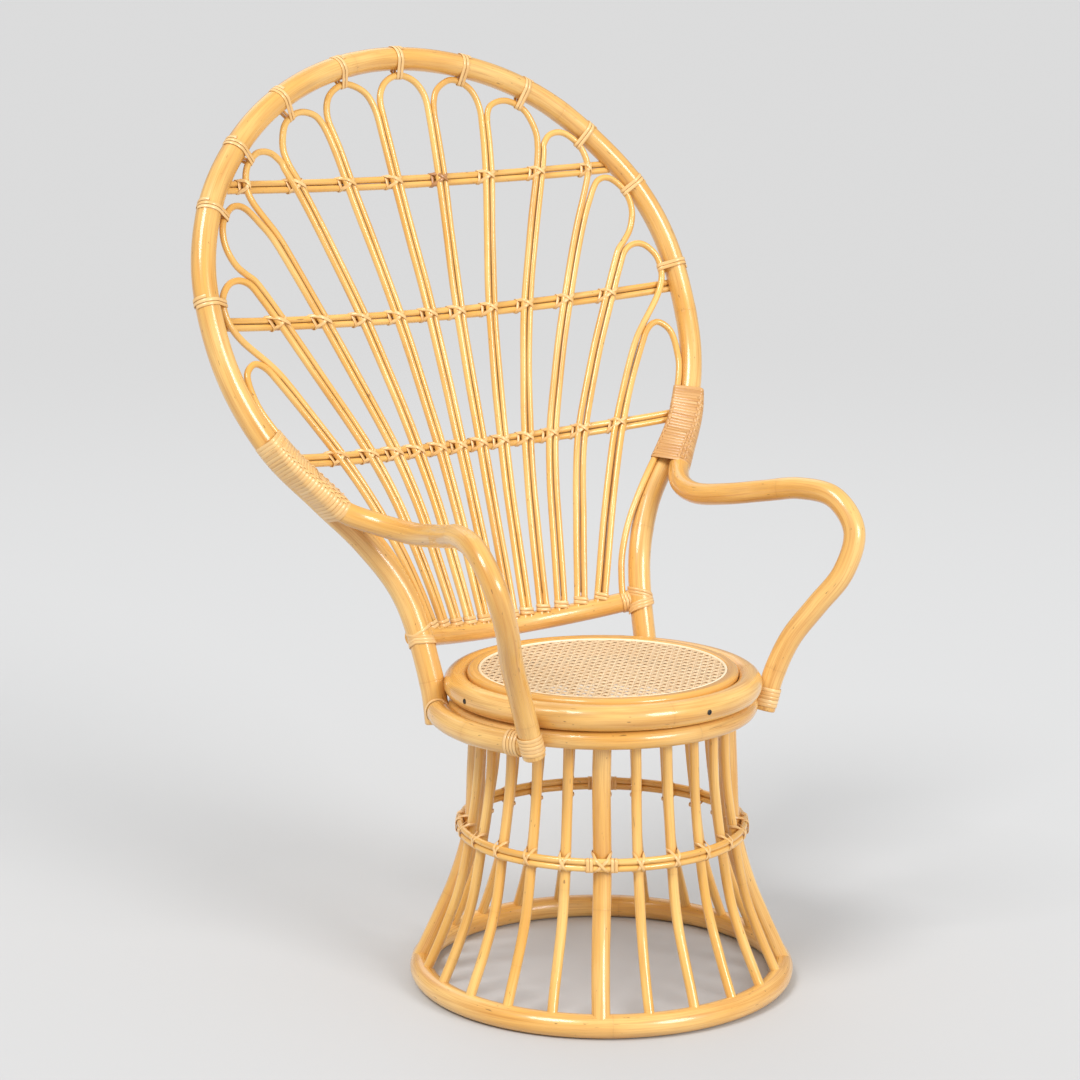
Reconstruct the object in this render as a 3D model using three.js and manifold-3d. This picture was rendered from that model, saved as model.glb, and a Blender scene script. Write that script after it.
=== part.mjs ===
// A peacock chair: a drum base of rattan canes, a round cane seat, bent arms and a tall looped back.
// Millimetres, +Z up. The sitter faces -Y and the back leans towards +Y.

import * as THREE from 'three';
import { mergeVertices } from 'three/addons/utils/BufferGeometryUtils.js';
import Module from 'manifold-3d';

const wasm = await Module();
wasm.setup();

// Overall height, and the clearances between pieces
const chairHeight = 1257;
const touchGap = 0.3;
const crossGap = 1.2;
const notch = 1.2;

// Base: rings, legs, spindles and the waist canes. An upright's rows are shares of the base's height
// and of the way out from the top ring to the floor ring
const floorRing = { radius: 249, cane: 16.2, sides: 8 };
const topRing = { cane: 16.6, sides: 8 };
const uprightCount = 24;
const uprightsPerLeg = 6;
const legTurn = THREE.MathUtils.degToRad(-129);
const waistShare = 0.5612;
const leg = { cane: 12.5, topIn: 1, footOut: 3, footLift: 2, sides: 8, steps: 10 };
const spindle = { cane: 6.7, topIn: 0, footOut: 3, footLift: 3, sides: 6, steps: 5 };
const legShares = [[0.7689, 0.0309], [waistShare, 0.1005], [0.3554, 0.3566], [0.2106, 0.6396]];
const spindleShares = [[0.7689, 0.0499], [waistShare, 0.1906], [0.3554, 0.3946], [0.2106, 0.6523]];
const waist = { cane: 4.5, clear: 0.7 };

// Seat: the two outer rings, the frame of the cane panel, the panel and the cord that holds it
const seatRing = { radius: 199.3, cane: 17.5, height: 417.4, sides: 8 };
const apronRing = { inset: 0.6, cane: 12.3, sides: 8 };
const caneFrame = { width: 23.5, drop: 2.4, rise: 20.6, overhang: 2.6, shoulder: 11.1, edge: 3.4 };
const panel = { bearing: 7.7, sunk: 2, thickness: 1.7, openingCount: 9, openShare: 0.56 };
const cord = { cane: 1.8, sides: 4 };

// Back: the leaning and bowed surface that the loops lie on. Rows give the place across as a share of the
// chair's height and the height as a share of the rise above the seat, and for the hoop the place behind.
// The feet of the loops' pairs are shares of the outermost foot's place. The outermost loop falls along
// the hoop: rows give a height on the hoop and how much more than their clearance parts them
const backFoot = 2.85;
const leanShare = 0.2253;
const bowShares = { leastShare: 0.266, mostShare: 2.22, bendShare: 0.2547, softShare: 0.0843 };
const hoop = { cane: 16.5, footDrop: 25.3, apronNotch: 2.8, sides: 8, stepsPerPoint: 2 };
const hoopTurn = { seat: THREE.MathUtils.degToRad(35.8), foot: THREE.MathUtils.degToRad(33) };
const hoopShares = [
  [0, 0.9805, 0], [0.0705, 0.9707, -0.0017], [0.1383, 0.9424, -0.0022], [0.2005, 0.8953, 0.0004],
  [0.2532, 0.8296, 0.003], [0.2948, 0.7512, 0.0027], [0.3198, 0.6601, 0.0024], [0.3244, 0.563, 0.001],
  [0.3142, 0.4663, 0.003], [0.2872, 0.3773, 0.0111], [0.2424, 0.2998, 0.0155], [0.1967, 0.2234, 0.0116],
  [0.1639, 0.1364, 0.0007],
];
const loopCane = 4.7;
const loopSides = 5;
const loopSteps = 2;
const footShares = [0.0867, 0.2566, 0.4418, 0.6321, 0.825, 1];
const pairShares = [
  [0.0146, 0.0198, 0.0317], [0.0439, 0.0649, 0.097], [0.0768, 0.1141, 0.1676], [0.1095, 0.1696],
  [0.1475, 0.2286], [0.1946],
];
const forkShares = [
  [0.0353, 0.8904], [0.1058, 0.8702], [0.1762, 0.8272], [0.2132, 0.7034], [0.2562, 0.6404], [0.2522, 0.489],
];
const archShares = [
  [[0.0302, 0.9178], [0.0199, 0.9416], [0, 0.9524]],
  [[0.0477, 0.925], [0.0716, 0.9428], [0.0947, 0.9262], [0.1026, 0.8964]],
  [[0.1177, 0.8964], [0.1408, 0.9048], [0.1639, 0.8868], [0.1734, 0.8512]],
  [[0.1909, 0.844], [0.21, 0.847], [0.2291, 0.825], [0.2351, 0.7892], [0.2259, 0.7522]],
  [[0.2291, 0.7332], [0.2434, 0.7618], [0.2609, 0.766], [0.2784, 0.7428], [0.2824, 0.7082], [0.2721, 0.6724]],
  [[0.2721, 0.6504], [0.288, 0.6498], [0.3023, 0.6284], [0.3031, 0.595], [0.2912, 0.5628], [0.2713, 0.5296]],
  [[0.2673, 0.508], [0.2816, 0.5176], [0.2951, 0.501]],
];
const fallShares = [
  [0.4569, -0.0006], [0.405, -0.0017], [0.3214, -0.0001], [0.2393, 0.0011], [0.154, 0.0018],
];
const fallEndShare = 0.883;
const bar = { cane: 4.7, steps: 10 };
const barShares = [[0.3423, 0.254], [0.5595, 0.141], [0.7793, 0.086]];
const rail = { cane: 14.3, behind: 8, lift: 6.8, riseShare: 0.815, sides: 8, steps: 12 };

// Arms and side rails. An arm's rows are shares of the way from its foot to the end of its splice
const arm = { cane: 15.2, tip: 5, footDrop: 16, tipSteps: 4, sides: 8 };
const armTurn = THREE.MathUtils.degToRad(-28.17);
const spliceShares = { topShare: 0.3962, bottomShare: 0.2784 };
const armShares = [
  [0.6632, 0.8601, 0.9449], [0.4947, 0.674, 0.9289], [0.5536, 0.4803, 0.9542],
  [0.7769, 0.301, 0.9886], [0.9815, 0.1188, 1.019], [1.1353, -0.0707, 0.9924],
  [1.1423, -0.2, 0.8501], [0.9412, -0.1958, 0.6613], [0.6646, -0.1159, 0.5014],
  [0.3805, -0.0412, 0.3418], [0.1602, -0.0041, 0.1644],
];
const sideRail = { cane: 15.8, drop: 4.8, sides: 8, steps: 10 };

// Bindings of flat strip: the long ones at the splices, the short ones at the rail and at the arms' feet
const strip = { thickness: 1.5, gap: 1.25, samples: 4 };
const splice = { turns: 16, tipSteps: 3, hoopSteps: 4 };
const shortBinding = { steps: 8 };
const railBinding = { turns: 3, pitch: 5.6, clear: 11 };
const footBinding = { turns: 4, pitch: 6.4, lift: 3 };

const colours = {
  cane: { color: '#e0a85c', roughness: 0.35 },
  deepCane: { color: '#c98f4a', roughness: 0.4 },
  strip: { color: '#e8bf80', roughness: 0.45 },
  panel: { color: '#efcfa2', roughness: 0.7 },
};

const chair = new THREE.Group();
const base = new THREE.Group();
base.rotation.z = legTurn;
chair.add(base);

// A curve whose steps are shared out evenly between its points, so that close points bring short steps
class StepCurve extends THREE.CatmullRomCurve3 {
  getPointAt(share, target) {
    return this.getPoint(share, target);
  }

  getTangentAt(share, target) {
    return this.getTangent(share, target);
  }
}

// A step curve whose section keeps its first direction towards a guide, for sections that aren't round
class GuidedCurve extends StepCurve {
  constructor(points, guide) {
    super(points);
    this.guide = guide;
  }

  computeFrenetFrames(steps) {
    const tangents = Array.from({ length: steps + 1 }, (_, index) => this.getTangent(index / steps));
    const normals = tangents.map((tangent) => {
      return this.guide.clone().addScaledVector(tangent, -this.guide.dot(tangent)).normalize();
    });
    const binormals = tangents.map((tangent, index) => tangent.clone().cross(normals[index]));
    return { tangents, normals, binormals };
  }
}

function toSolid(geometry) {
  geometry.deleteAttribute('normal');
  geometry.deleteAttribute('uv');
  const merged = mergeVertices(geometry);
  const mesh = new wasm.Mesh({
    numProp: 3,
    vertProperties: new Float32Array(merged.attributes.position.array),
    triVerts: new Uint32Array(merged.index.array),
  });
  return new wasm.Manifold(mesh);
}

// A cut along a facet can leave a crumb beside the piece
function largestBody(solid) {
  return solid.decompose().reduce((best, body) => (body.volume() > best.volume() ? body : best));
}

function toGeometry(solid) {
  const mesh = solid.getMesh();
  const geometry = new THREE.BufferGeometry();
  geometry.setAttribute('position', new THREE.BufferAttribute(mesh.vertProperties, 3));
  geometry.setIndex(new THREE.BufferAttribute(mesh.triVerts, 1));
  geometry.computeVertexNormals();
  return geometry;
}

function addNode(parent, name, solid, look) {
  const material = new THREE.MeshStandardMaterial({ ...colours[look], metalness: 0 });
  const mesh = new THREE.Mesh(toGeometry(solid), material);
  mesh.name = name;
  parent.add(mesh);
  return mesh;
}

function sectionPoints(radius, sides, turn = 0) {
  return Array.from({ length: sides }, (_, index) => {
    const angle = turn + (index / sides) * 2 * Math.PI;
    return new THREE.Vector2(radius * Math.cos(angle), radius * Math.sin(angle));
  });
}

function turnedSolid(profile, around) {
  const geometry = new THREE.LatheGeometry([...profile, profile[0]], around);
  geometry.rotateX(Math.PI / 2);
  return toSolid(geometry);
}

function ringSolid(radius, cane, height, sides, around, turn = 0) {
  const centre = new THREE.Vector2(radius, height);
  return turnedSolid(sectionPoints(cane, sides, turn).map((point) => point.add(centre)), around);
}

// The outline of two thin canes that lie one on the other, the first direction running from cane to cane
function pairOutline(cane) {
  const facet = Math.PI / 3;
  const lobe = [-2, -1, 0, 1, 2].map((step) => {
    const angle = step * facet;
    return new THREE.Vector2(cane + cane * Math.cos(angle), cane * Math.sin(angle));
  });
  const neck = new THREE.Vector2(0, cane * Math.cos(facet));
  const far = lobe.map((point) => point.clone().negate());
  return [...lobe, neck, ...far, neck.clone().negate()];
}

function sweptGeometry(path, outline, steps) {
  const section = new THREE.Shape(outline);
  return new THREE.ExtrudeGeometry(section, { steps, extrudePath: path, bevelEnabled: false });
}

function caneGeometry(path, radius, sides, steps) {
  return sweptGeometry(path, sectionPoints(radius, sides), steps);
}

function caneSolid(points, radius, sides, steps) {
  return toSolid(caneGeometry(new StepCurve(points), radius, sides, steps));
}

// A cane whose radius changes along its path, by a function of the share of its steps
function whittledSolid(points, radiusAt, sides, steps) {
  const path = new StepCurve(points);
  const centres = path.getSpacedPoints(steps);
  const geometry = caneGeometry(path, 1, sides, steps);
  const position = geometry.attributes.position;
  const corner = new THREE.Vector3();
  for (let index = 0; index < position.count; index += 1) {
    corner.fromBufferAttribute(position, index);
    const distances = centres.map((centre) => centre.distanceTo(corner));
    const nearest = distances.indexOf(Math.min(...distances));
    corner.sub(centres[nearest]).multiplyScalar(radiusAt(nearest / steps)).add(centres[nearest]);
    position.setXYZ(index, corner.x, corner.y, corner.z);
  }
  return toSolid(geometry);
}

function scaled(share) {
  return share * chairHeight;
}

function risen(share) {
  return seatRing.height + share * backHeight;
}

function mirrored(points) {
  return points.map((point) => new THREE.Vector3(-point.x, point.y, point.z));
}

function polar(radius, angle, height) {
  return new THREE.Vector3(radius * Math.cos(angle), radius * Math.sin(angle), height);
}

// Sizes that follow from the ones above
const backHeight = chairHeight - seatRing.height;
const uprightTurn = (2 * Math.PI) / uprightCount;
const ringAround = 2 * uprightCount;
const floorRingHeight = floorRing.cane * Math.cos(Math.PI / floorRing.sides);
const apronRadius = seatRing.radius - apronRing.inset;
const apronHeight = seatRing.height - seatRing.cane - touchGap - apronRing.cane;
const topRingRadius = apronRadius - apronRing.cane - touchGap - topRing.cane;
const waistHeight = apronHeight * waistShare;
const frameFlank = seatRing.radius - seatRing.cane - touchGap;
const frameInner = frameFlank - caneFrame.width;
const frameOuter = seatRing.radius - seatRing.cane + caneFrame.overhang;
const frameTop = seatRing.height + caneFrame.rise;
const panelRadius = frameInner + panel.bearing;
const panelTop = frameTop - panel.sunk;
const panelBottom = panelTop - panel.thickness;
const cordRadius = panelRadius + touchGap + cord.cane;
const cordHeight = panelTop - cord.cane;
const hoopAtSeat = seatRing.radius + seatRing.cane + hoop.cane - notch;
const hoopAtApron = apronRadius + apronRing.cane + hoop.cane - hoop.apronNotch;
const sideRailRadius = apronRadius + apronRing.cane + touchGap + sideRail.cane - notch;
const sideRailHeight = apronHeight - sideRail.drop;

function floorRingSolid(growth) {
  const flatDown = Math.PI / floorRing.sides - Math.PI / 2;
  const cane = floorRing.cane + growth;
  return ringSolid(floorRing.radius, cane, floorRingHeight, floorRing.sides, ringAround, flatDown);
}

function topRingSolid(growth) {
  return ringSolid(topRingRadius, topRing.cane + growth, apronHeight, topRing.sides, uprightCount);
}

function apronSolid(growth) {
  return ringSolid(apronRadius, apronRing.cane + growth, apronHeight, apronRing.sides, ringAround);
}

function seatRingSolid(growth) {
  return ringSolid(seatRing.radius, seatRing.cane + growth, seatRing.height, seatRing.sides, ringAround);
}

// The distance of an upright from the middle, at a share of the way from the top ring to the floor ring
function uprightRadius(share) {
  return topRingRadius + share * (floorRing.radius - topRingRadius);
}

// An upright stands between the floor ring and the top ring, with both ends hollowed to fit them
function uprightSolid(size, shares) {
  const points = [
    new THREE.Vector3(topRingRadius - size.topIn, 0, apronHeight),
    ...shares.map(([height, out]) => new THREE.Vector3(uprightRadius(out), 0, apronHeight * height)),
    new THREE.Vector3(floorRing.radius + size.footOut, 0, floorRingHeight + size.footLift),
  ];
  const blank = caneSolid(points, size.cane, size.sides, size.steps);
  return blank.subtract(floorRingSolid(touchGap)).subtract(topRingSolid(touchGap));
}

function addUpright(name, solid, look, index) {
  addNode(base, name, solid, look).rotation.z = index * uprightTurn;
}

function addBase() {
  addNode(base, 'floor_ring', floorRingSolid(0), 'cane');
  addNode(base, 'base_top_ring', topRingSolid(0), 'deepCane');
  const legSolid = uprightSolid(leg, legShares);
  const spindleSolid = uprightSolid(spindle, spindleShares);
  for (let index = 0; index < uprightCount; index += 1) {
    const legsBefore = Math.ceil(index / uprightsPerLeg);
    if (index % uprightsPerLeg === 0) {
      addUpright(`leg_${legsBefore + 1}`, legSolid, 'cane', index);
    } else {
      addUpright(`spindle_${index + 1 - legsBefore}`, spindleSolid, 'deepCane', index);
    }
  }
}

// Two thin canes round the waist, outside the uprights
function addWaistHoop() {
  const [, legOut] = legShares.find(([height]) => height === waistShare);
  const inner = uprightRadius(legOut) + leg.cane + waist.clear;
  const radius = (inner + waist.cane) / Math.cos(Math.PI / uprightCount);
  const profile = pairOutline(waist.cane).map((point) => {
    return new THREE.Vector2(radius - point.y, waistHeight + point.x);
  });
  addNode(base, 'waist_hoop', turnedSolid(profile, uprightCount), 'cane');
}

function addSeat() {
  addNode(base, 'apron_ring', apronSolid(0), 'cane');
  addNode(base, 'seat_ring', seatRingSolid(0), 'cane');
  const groove = cordHeight - cord.cane - touchGap;
  const grooveInner = cordRadius - cord.cane;
  const grooveOuter = cordRadius + cord.cane + touchGap;
  const rebate = panelBottom - touchGap;
  const bottom = seatRing.height - caneFrame.drop;
  const { edge, shoulder } = caneFrame;
  const profile = [
    [frameInner, bottom], [frameFlank - edge, bottom], [frameFlank, seatRing.height],
    [frameOuter, seatRing.height + shoulder], [frameOuter, frameTop - edge], [frameOuter - edge, frameTop],
    [grooveOuter, frameTop], [grooveOuter, groove], [grooveInner, groove],
    [grooveInner, rebate], [frameInner, rebate],
  ].map(([radius, height]) => new THREE.Vector2(radius, height));
  addNode(base, 'cane_frame', turnedSolid(profile, ringAround), 'deepCane');
  addNode(base, 'cane_panel', panelSolid(), 'panel');
  addNode(base, 'cane_cord', ringSolid(cordRadius, cord.cane, cordHeight, cord.sides, ringAround), 'strip');
}

// The panel has a plain grid of square openings, in rows that follow the chair and not the turned base
function panelSolid() {
  const disc = new THREE.CylinderGeometry(panelRadius, panelRadius, panel.thickness, ringAround);
  disc.rotateX(Math.PI / 2);
  disc.translate(0, 0, panelTop - panel.thickness / 2);
  const pitch = (2 * frameInner) / panel.openingCount;
  const width = pitch * panel.openShare;
  const opening = wasm.Manifold.cube([width, width, panel.sunk + panel.thickness], true);
  const places = Array.from({ length: panel.openingCount }, (_, index) => {
    return (index - (panel.openingCount - 1) / 2) * pitch;
  });
  const openings = places.flatMap((across) => {
    const inside = places.filter((along) => Math.hypot(across, along) + width < frameInner);
    return inside.map((along) => opening.translate([across, along, panelTop - panel.thickness / 2]));
  });
  const turn = THREE.MathUtils.radToDeg(-legTurn);
  return toSolid(disc).subtract(wasm.Manifold.union(openings).rotate([0, 0, turn]));
}

// Depth of the back's leaning and bowed surface at a place across and up
function backDepth(across, height) {
  const { leastShare, mostShare, bendShare, softShare } = bowShares;
  const share = (height - seatRing.height) / backHeight;
  const bow = leastShare + mostShare / (1 + Math.exp((share - bendShare) / softShare));
  return seatRing.radius + backFoot + scaled(leanShare) * share - (bow * across * across) / chairHeight;
}

function onBack(across, height) {
  return new THREE.Vector3(across, backDepth(across, height), height);
}

// A place behind the surface by a distance, square to it
function behindBack(across, height, distance) {
  const sideways = onBack(across + loopCane, height).sub(onBack(across - loopCane, height));
  const upward = onBack(across, height + loopCane).sub(onBack(across, height - loopCane));
  return onBack(across, height).addScaledVector(upward.cross(sideways).normalize(), distance);
}

function hoopHalf() {
  const rows = hoopShares.map(([across, rise, behind]) => {
    const place = onBack(scaled(across), risen(rise));
    place.y += scaled(behind);
    return place;
  });
  const footHeight = apronHeight - hoop.footDrop;
  return [
    ...rows, polar(hoopAtSeat, hoopTurn.seat, seatRing.height), polar(hoopAtApron, hoopTurn.foot, footHeight),
  ];
}

const rightHalf = hoopHalf();
const hoopPoints = [...mirrored(rightHalf.slice(1)).reverse(), ...rightHalf];
const hoopSteps = hoop.stepsPerPoint * (hoopPoints.length - 1);
const hoopCurve = new StepCurve(hoopPoints);

function hoopSolid(growth) {
  return caneSolid(hoopPoints, hoop.cane + growth, hoop.sides, hoopSteps);
}

// How far a solid that clears a cane's binding stands out from the cane, with both of them faceted
function boundGrowth(cane, bindingSteps, sides) {
  const wound = (cane + touchGap) / Math.cos(Math.PI / bindingSteps) + strip.thickness + touchGap;
  return wound / Math.cos(Math.PI / sides) - cane;
}

const grownHoop = hoopSolid(touchGap);
const boundHoop = hoopSolid(boundGrowth(hoop.cane, splice.hoopSteps + 2, hoop.sides));

// The step of a curve's last, falling stretch that is at a height, with its fraction
function stepAtHeight(curve, steps, height) {
  let step = steps;
  while (curve.getPoint((step - 1) / steps).z < height) step -= 1;
  const lower = curve.getPoint(step / steps).z;
  const upper = curve.getPoint((step - 1) / steps).z;
  return step - (height - lower) / (upper - lower);
}

// The centre and the way up at a step, on the straight steps of the curve's solid
function placeAtStep(curve, steps, step) {
  const before = Math.floor(step);
  const centre = curve.getPoint(before / steps).lerp(curve.getPoint((before + 1) / steps), step - before);
  return { centre, along: curve.getTangent(step / steps).negate() };
}

// The place on the hoop's right side at a step, and the way to its front there
function hoopAt(step) {
  const { centre, along } = placeAtStep(hoopCurve, hoopSteps, step);
  const forward = new THREE.Vector3(0, -1, 0);
  forward.addScaledVector(along, -forward.dot(along)).normalize();
  return { centre, along, forward };
}

function addHoop() {
  const solid = hoopSolid(0).subtract(seatRingSolid(touchGap)).subtract(apronSolid(touchGap));
  addNode(chair, 'back_hoop', solid, 'cane');
}

// Half of a rail's or bar's length, to the middle of the hoop at the height where it meets it
function reachAt(heightAt) {
  const first = hoopAcross(heightAt(0));
  return hoopAcross(heightAt(first));
}

function hoopAcross(height) {
  return hoopPlace(height).centre.x;
}

function hoopPlace(height) {
  return placeAtStep(hoopCurve, hoopSteps, stepAtHeight(hoopCurve, hoopSteps, height));
}

function railHeight(across) {
  const middle = seatRing.height + seatRing.cane + rail.lift + rail.cane;
  return middle + (rail.riseShare * across * across) / chairHeight;
}

function barHeight(index, across) {
  const [height, rise] = barShares[index];
  return risen(height) + (rise * across * across) / chairHeight;
}

const railReach = reachAt(railHeight);
const railPoints = Array.from({ length: rail.steps / 2 + 1 }, (_, index) => {
  const across = railReach * (index / (rail.steps / 4) - 1);
  return behindBack(across, railHeight(across), rail.behind);
});

function railSolid(growth) {
  return caneSolid(railPoints, rail.cane + growth, rail.sides, rail.steps);
}

// The rail's direction at its right end, and the place where its binding starts
const railCurve = new StepCurve(railPoints);
const railAlong = railCurve.getTangent(1);
const bindingRun = hoop.cane + railBinding.clear + railBinding.turns * railBinding.pitch;
const bindingStart = railCurve.getPoint(1).addScaledVector(railAlong, -bindingRun);
const outerFoot = bindingStart.x - crossGap - 2 * loopCane;

function flatPoint([across, rise]) {
  return new THREE.Vector2(scaled(across), risen(rise));
}

function flatMirrored(points) {
  return points.map((point) => new THREE.Vector2(-point.x, point.y));
}

// The legs of neighbouring loops stand in pairs, on both sides of a seam from the rail to their fork
function legPoints(pair, side) {
  const foot = outerFoot * footShares[pair];
  const places = pairShares[pair].map((share, index) => {
    return new THREE.Vector2(scaled(share), barHeight(index, scaled(share)));
  });
  places.unshift(new THREE.Vector2(foot, railHeight(foot)));
  const seam = new THREE.SplineCurve([...places, flatPoint(forkShares[pair])]);
  const steps = loopSteps * places.length;
  return Array.from({ length: steps + 1 }, (_, step) => {
    const direction = seam.getTangent(step / steps);
    const reach = side * (loopCane + touchGap / 2);
    const sideways = new THREE.Vector2(direction.y, -direction.x).multiplyScalar(reach);
    return seam.getPoint(step / steps).add(sideways);
  });
}

// The outermost loop falls along the inside of the bound hoop, down to the rail
function fallPoints() {
  const clear = hoop.cane + strip.thickness + loopCane + crossGap;
  const places = fallShares.map(([rise, share]) => {
    const { centre, along } = hoopPlace(risen(rise));
    const inward = new THREE.Vector2(-along.z, along.x).normalize();
    return new THREE.Vector2(centre.x, centre.z).addScaledVector(inward, clear + scaled(share));
  });
  const end = railReach * fallEndShare;
  return [...places, new THREE.Vector2(end, railHeight(end))];
}

// A loop's outline on the back's surface: up its inner leg, over the arch and down its outer leg
function loopOutline(index) {
  const bend = archShares[index].map(flatPoint);
  const middle = index === 0;
  if (index === pairShares.length) bend.push(...fallPoints());
  const inner = middle ? flatMirrored(legPoints(0, -1)) : legPoints(index - 1, 1);
  const outer = index < pairShares.length ? legPoints(index, -1).reverse() : [];
  const arch = middle ? [...flatMirrored(bend), ...bend.slice(0, -1).reverse()] : bend;
  const curve = new THREE.SplineCurve([...inner.slice(-2), ...arch, ...outer.slice(0, 2)]);
  const steps = loopSteps * (curve.points.length - 1);
  const first = loopSteps + 1;
  const last = outer.length ? steps - first : steps;
  const samples = Array.from({ length: last - loopSteps }, (_, step) => {
    return curve.getPoint((step + first) / steps);
  });
  return [...inner, ...samples, ...outer];
}

function loopSolid(index, side) {
  const outline = loopOutline(index);
  const points = outline.map((point) => onBack(side * point.x, point.y));
  return caneSolid(points, loopCane, loopSides, points.length - 1);
}

function addLoops() {
  const grownRail = railSolid(touchGap);
  const boundRail = railSolid(boundGrowth(rail.cane, shortBinding.steps, rail.sides));
  const last = archShares.length - 1;
  for (let index = -last; index <= last; index += 1) {
    const solid = loopSolid(Math.abs(index), Math.sign(index) || 1);
    const cutter = Math.abs(index) === last ? boundRail : grownRail;
    addNode(chair, `loop_${index + last + 1}`, solid.subtract(cutter), 'cane');
  }
}

const backUp = new THREE.Vector3(0, scaled(leanShare), backHeight).normalize();

// A crossbar is two thin canes, one above the other, behind the loops, with both ends against the hoop
function crossbarSolid(index) {
  const reach = reachAt((across) => barHeight(index, across)) - hoop.cane / 2;
  const behind = loopCane + bar.cane + crossGap;
  const points = Array.from({ length: bar.steps / 2 + 1 }, (_, step) => {
    const across = reach * (step / (bar.steps / 4) - 1);
    return behindBack(across, barHeight(index, across), behind);
  });
  const path = new GuidedCurve(points, backUp);
  const solid = toSolid(sweptGeometry(path, pairOutline(bar.cane), bar.steps));
  return solid.subtract(index === 0 ? boundHoop : grownHoop);
}

function addCrossbars() {
  barShares.forEach((_, index) => addNode(chair, `crossbar_${index + 1}`, crossbarSolid(index), 'cane'));
}

function addRail() {
  addNode(chair, 'back_rail', railSolid(0).subtract(grownHoop), 'cane');
}

const spliceTop = stepAtHeight(hoopCurve, hoopSteps, risen(spliceShares.topShare));
const spliceBottom = stepAtHeight(hoopCurve, hoopSteps, risen(spliceShares.bottomShare));

// The arm's thin tip lies along the front of the hoop, and thickens to the full cane where it leaves
function spliceAt(share) {
  const { centre, along, forward } = hoopAt(spliceTop + (spliceBottom - spliceTop) * share);
  const radius = arm.tip + (arm.cane - arm.tip) * share;
  const distance = hoop.cane + radius + crossGap;
  return { centre, along, forward, radius, distance };
}

function armPoints() {
  const tip = Array.from({ length: arm.tipSteps + 1 }, (_, index) => {
    const { centre, forward, distance } = spliceAt(index / arm.tipSteps);
    return centre.clone().addScaledVector(forward, distance);
  });
  const head = tip[arm.tipSteps];
  const foot = polar(sideRailRadius, armTurn, sideRailHeight - arm.footDrop);
  const run = head.clone().sub(foot);
  const bent = armShares.map((row) => new THREE.Vector3(...row).multiply(run).add(foot));
  return [...tip, ...bent, foot];
}

function armRadius(share) {
  const segments = armRow.length - 1;
  const whittled = Math.min((share * segments) / arm.tipSteps, 1);
  return arm.tip + (arm.cane - arm.tip) * whittled;
}

const armRow = armPoints();
const armSteps = 2 * (armRow.length - 1);

function addArms() {
  addNode(chair, 'arm_right', whittledSolid(armRow, armRadius, arm.sides, armSteps), 'cane');
  addNode(chair, 'arm_left', whittledSolid(mirrored(armRow), armRadius, arm.sides, armSteps), 'cane');
}

function footAt(height) {
  const curve = new StepCurve(armRow);
  return placeAtStep(curve, armSteps, stepAtHeight(curve, armSteps, height));
}

// A side rail bends round the apron from the back post to the arm's foot, and butts against both
function addSideRails() {
  const foot = footAt(sideRailHeight).centre;
  const post = hoopPlace(sideRailHeight).centre;
  const start = Math.atan2(post.y, post.x);
  const end = Math.atan2(foot.y, foot.x);
  const points = Array.from({ length: sideRail.steps / 2 + 1 }, (_, index) => {
    const angle = start + (end - start) * (index / (sideRail.steps / 2));
    return polar(sideRailRadius, angle, sideRailHeight);
  });
  const footGrowth = boundGrowth(arm.cane, shortBinding.steps, arm.sides);
  const boundFoot = caneSolid(armRow, arm.cane + footGrowth, arm.sides, armSteps);
  for (const [name, side] of [['side_rail_right', 1], ['side_rail_left', -1]]) {
    const sidePoints = side === 1 ? points : mirrored(points);
    const stop = side === 1 ? boundFoot : boundFoot.mirror([1, 0, 0]);
    const blank = caneSolid(sidePoints, sideRail.cane, sideRail.sides, sideRail.steps);
    const cut = blank.subtract(grownHoop).subtract(stop).subtract(turnedApron());
    addNode(chair, name, largestBody(cut), 'cane');
  }
}

function turnedApron() {
  return apronSolid(touchGap).rotate([0, 0, THREE.MathUtils.radToDeg(legTurn)]);
}

// One unbroken strip wound turn after turn: placeAt gives each step's centre, way out, reach and way along
function windingRows(turns, steps, placeAt) {
  const rows = [];
  for (let index = 0; index <= turns * steps; index += 1) {
    rows.push(placeAt(index / (turns * steps), index % steps));
  }
  return rows;
}

function stripCorners({ centre, outward, reach, along, width }) {
  const inside = centre.clone().addScaledVector(outward, reach);
  const outside = inside.clone().addScaledVector(outward, strip.thickness);
  const half = width / 2;
  return [
    inside.clone().addScaledVector(along, -half), inside.clone().addScaledVector(along, half),
    outside.clone().addScaledVector(along, half), outside.clone().addScaledVector(along, -half),
  ];
}

function windingSolid(name, rows, steps) {
  const rings = rows.map(stripCorners);
  const count = rings[0].length;
  const indices = [0, 2, 1, 0, 3, 2];
  for (let row = 0; row < rings.length - 1; row += 1) {
    for (let side = 0; side < count; side += 1) {
      const here = row * count + side;
      const beside = row * count + ((side + 1) % count);
      indices.push(here, beside, here + count, beside, beside + count, here + count);
    }
  }
  const end = (rings.length - 1) * count;
  indices.push(end, end + 1, end + 2, end, end + 2, end + 3);
  const geometry = new THREE.BufferGeometry().setFromPoints(rings.flat());
  geometry.setIndex(indices);
  console.log(`${name}: least gap between turns ${leastGap(rings, steps).toFixed(2)} mm`);
  return toSolid(geometry);
}

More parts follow.
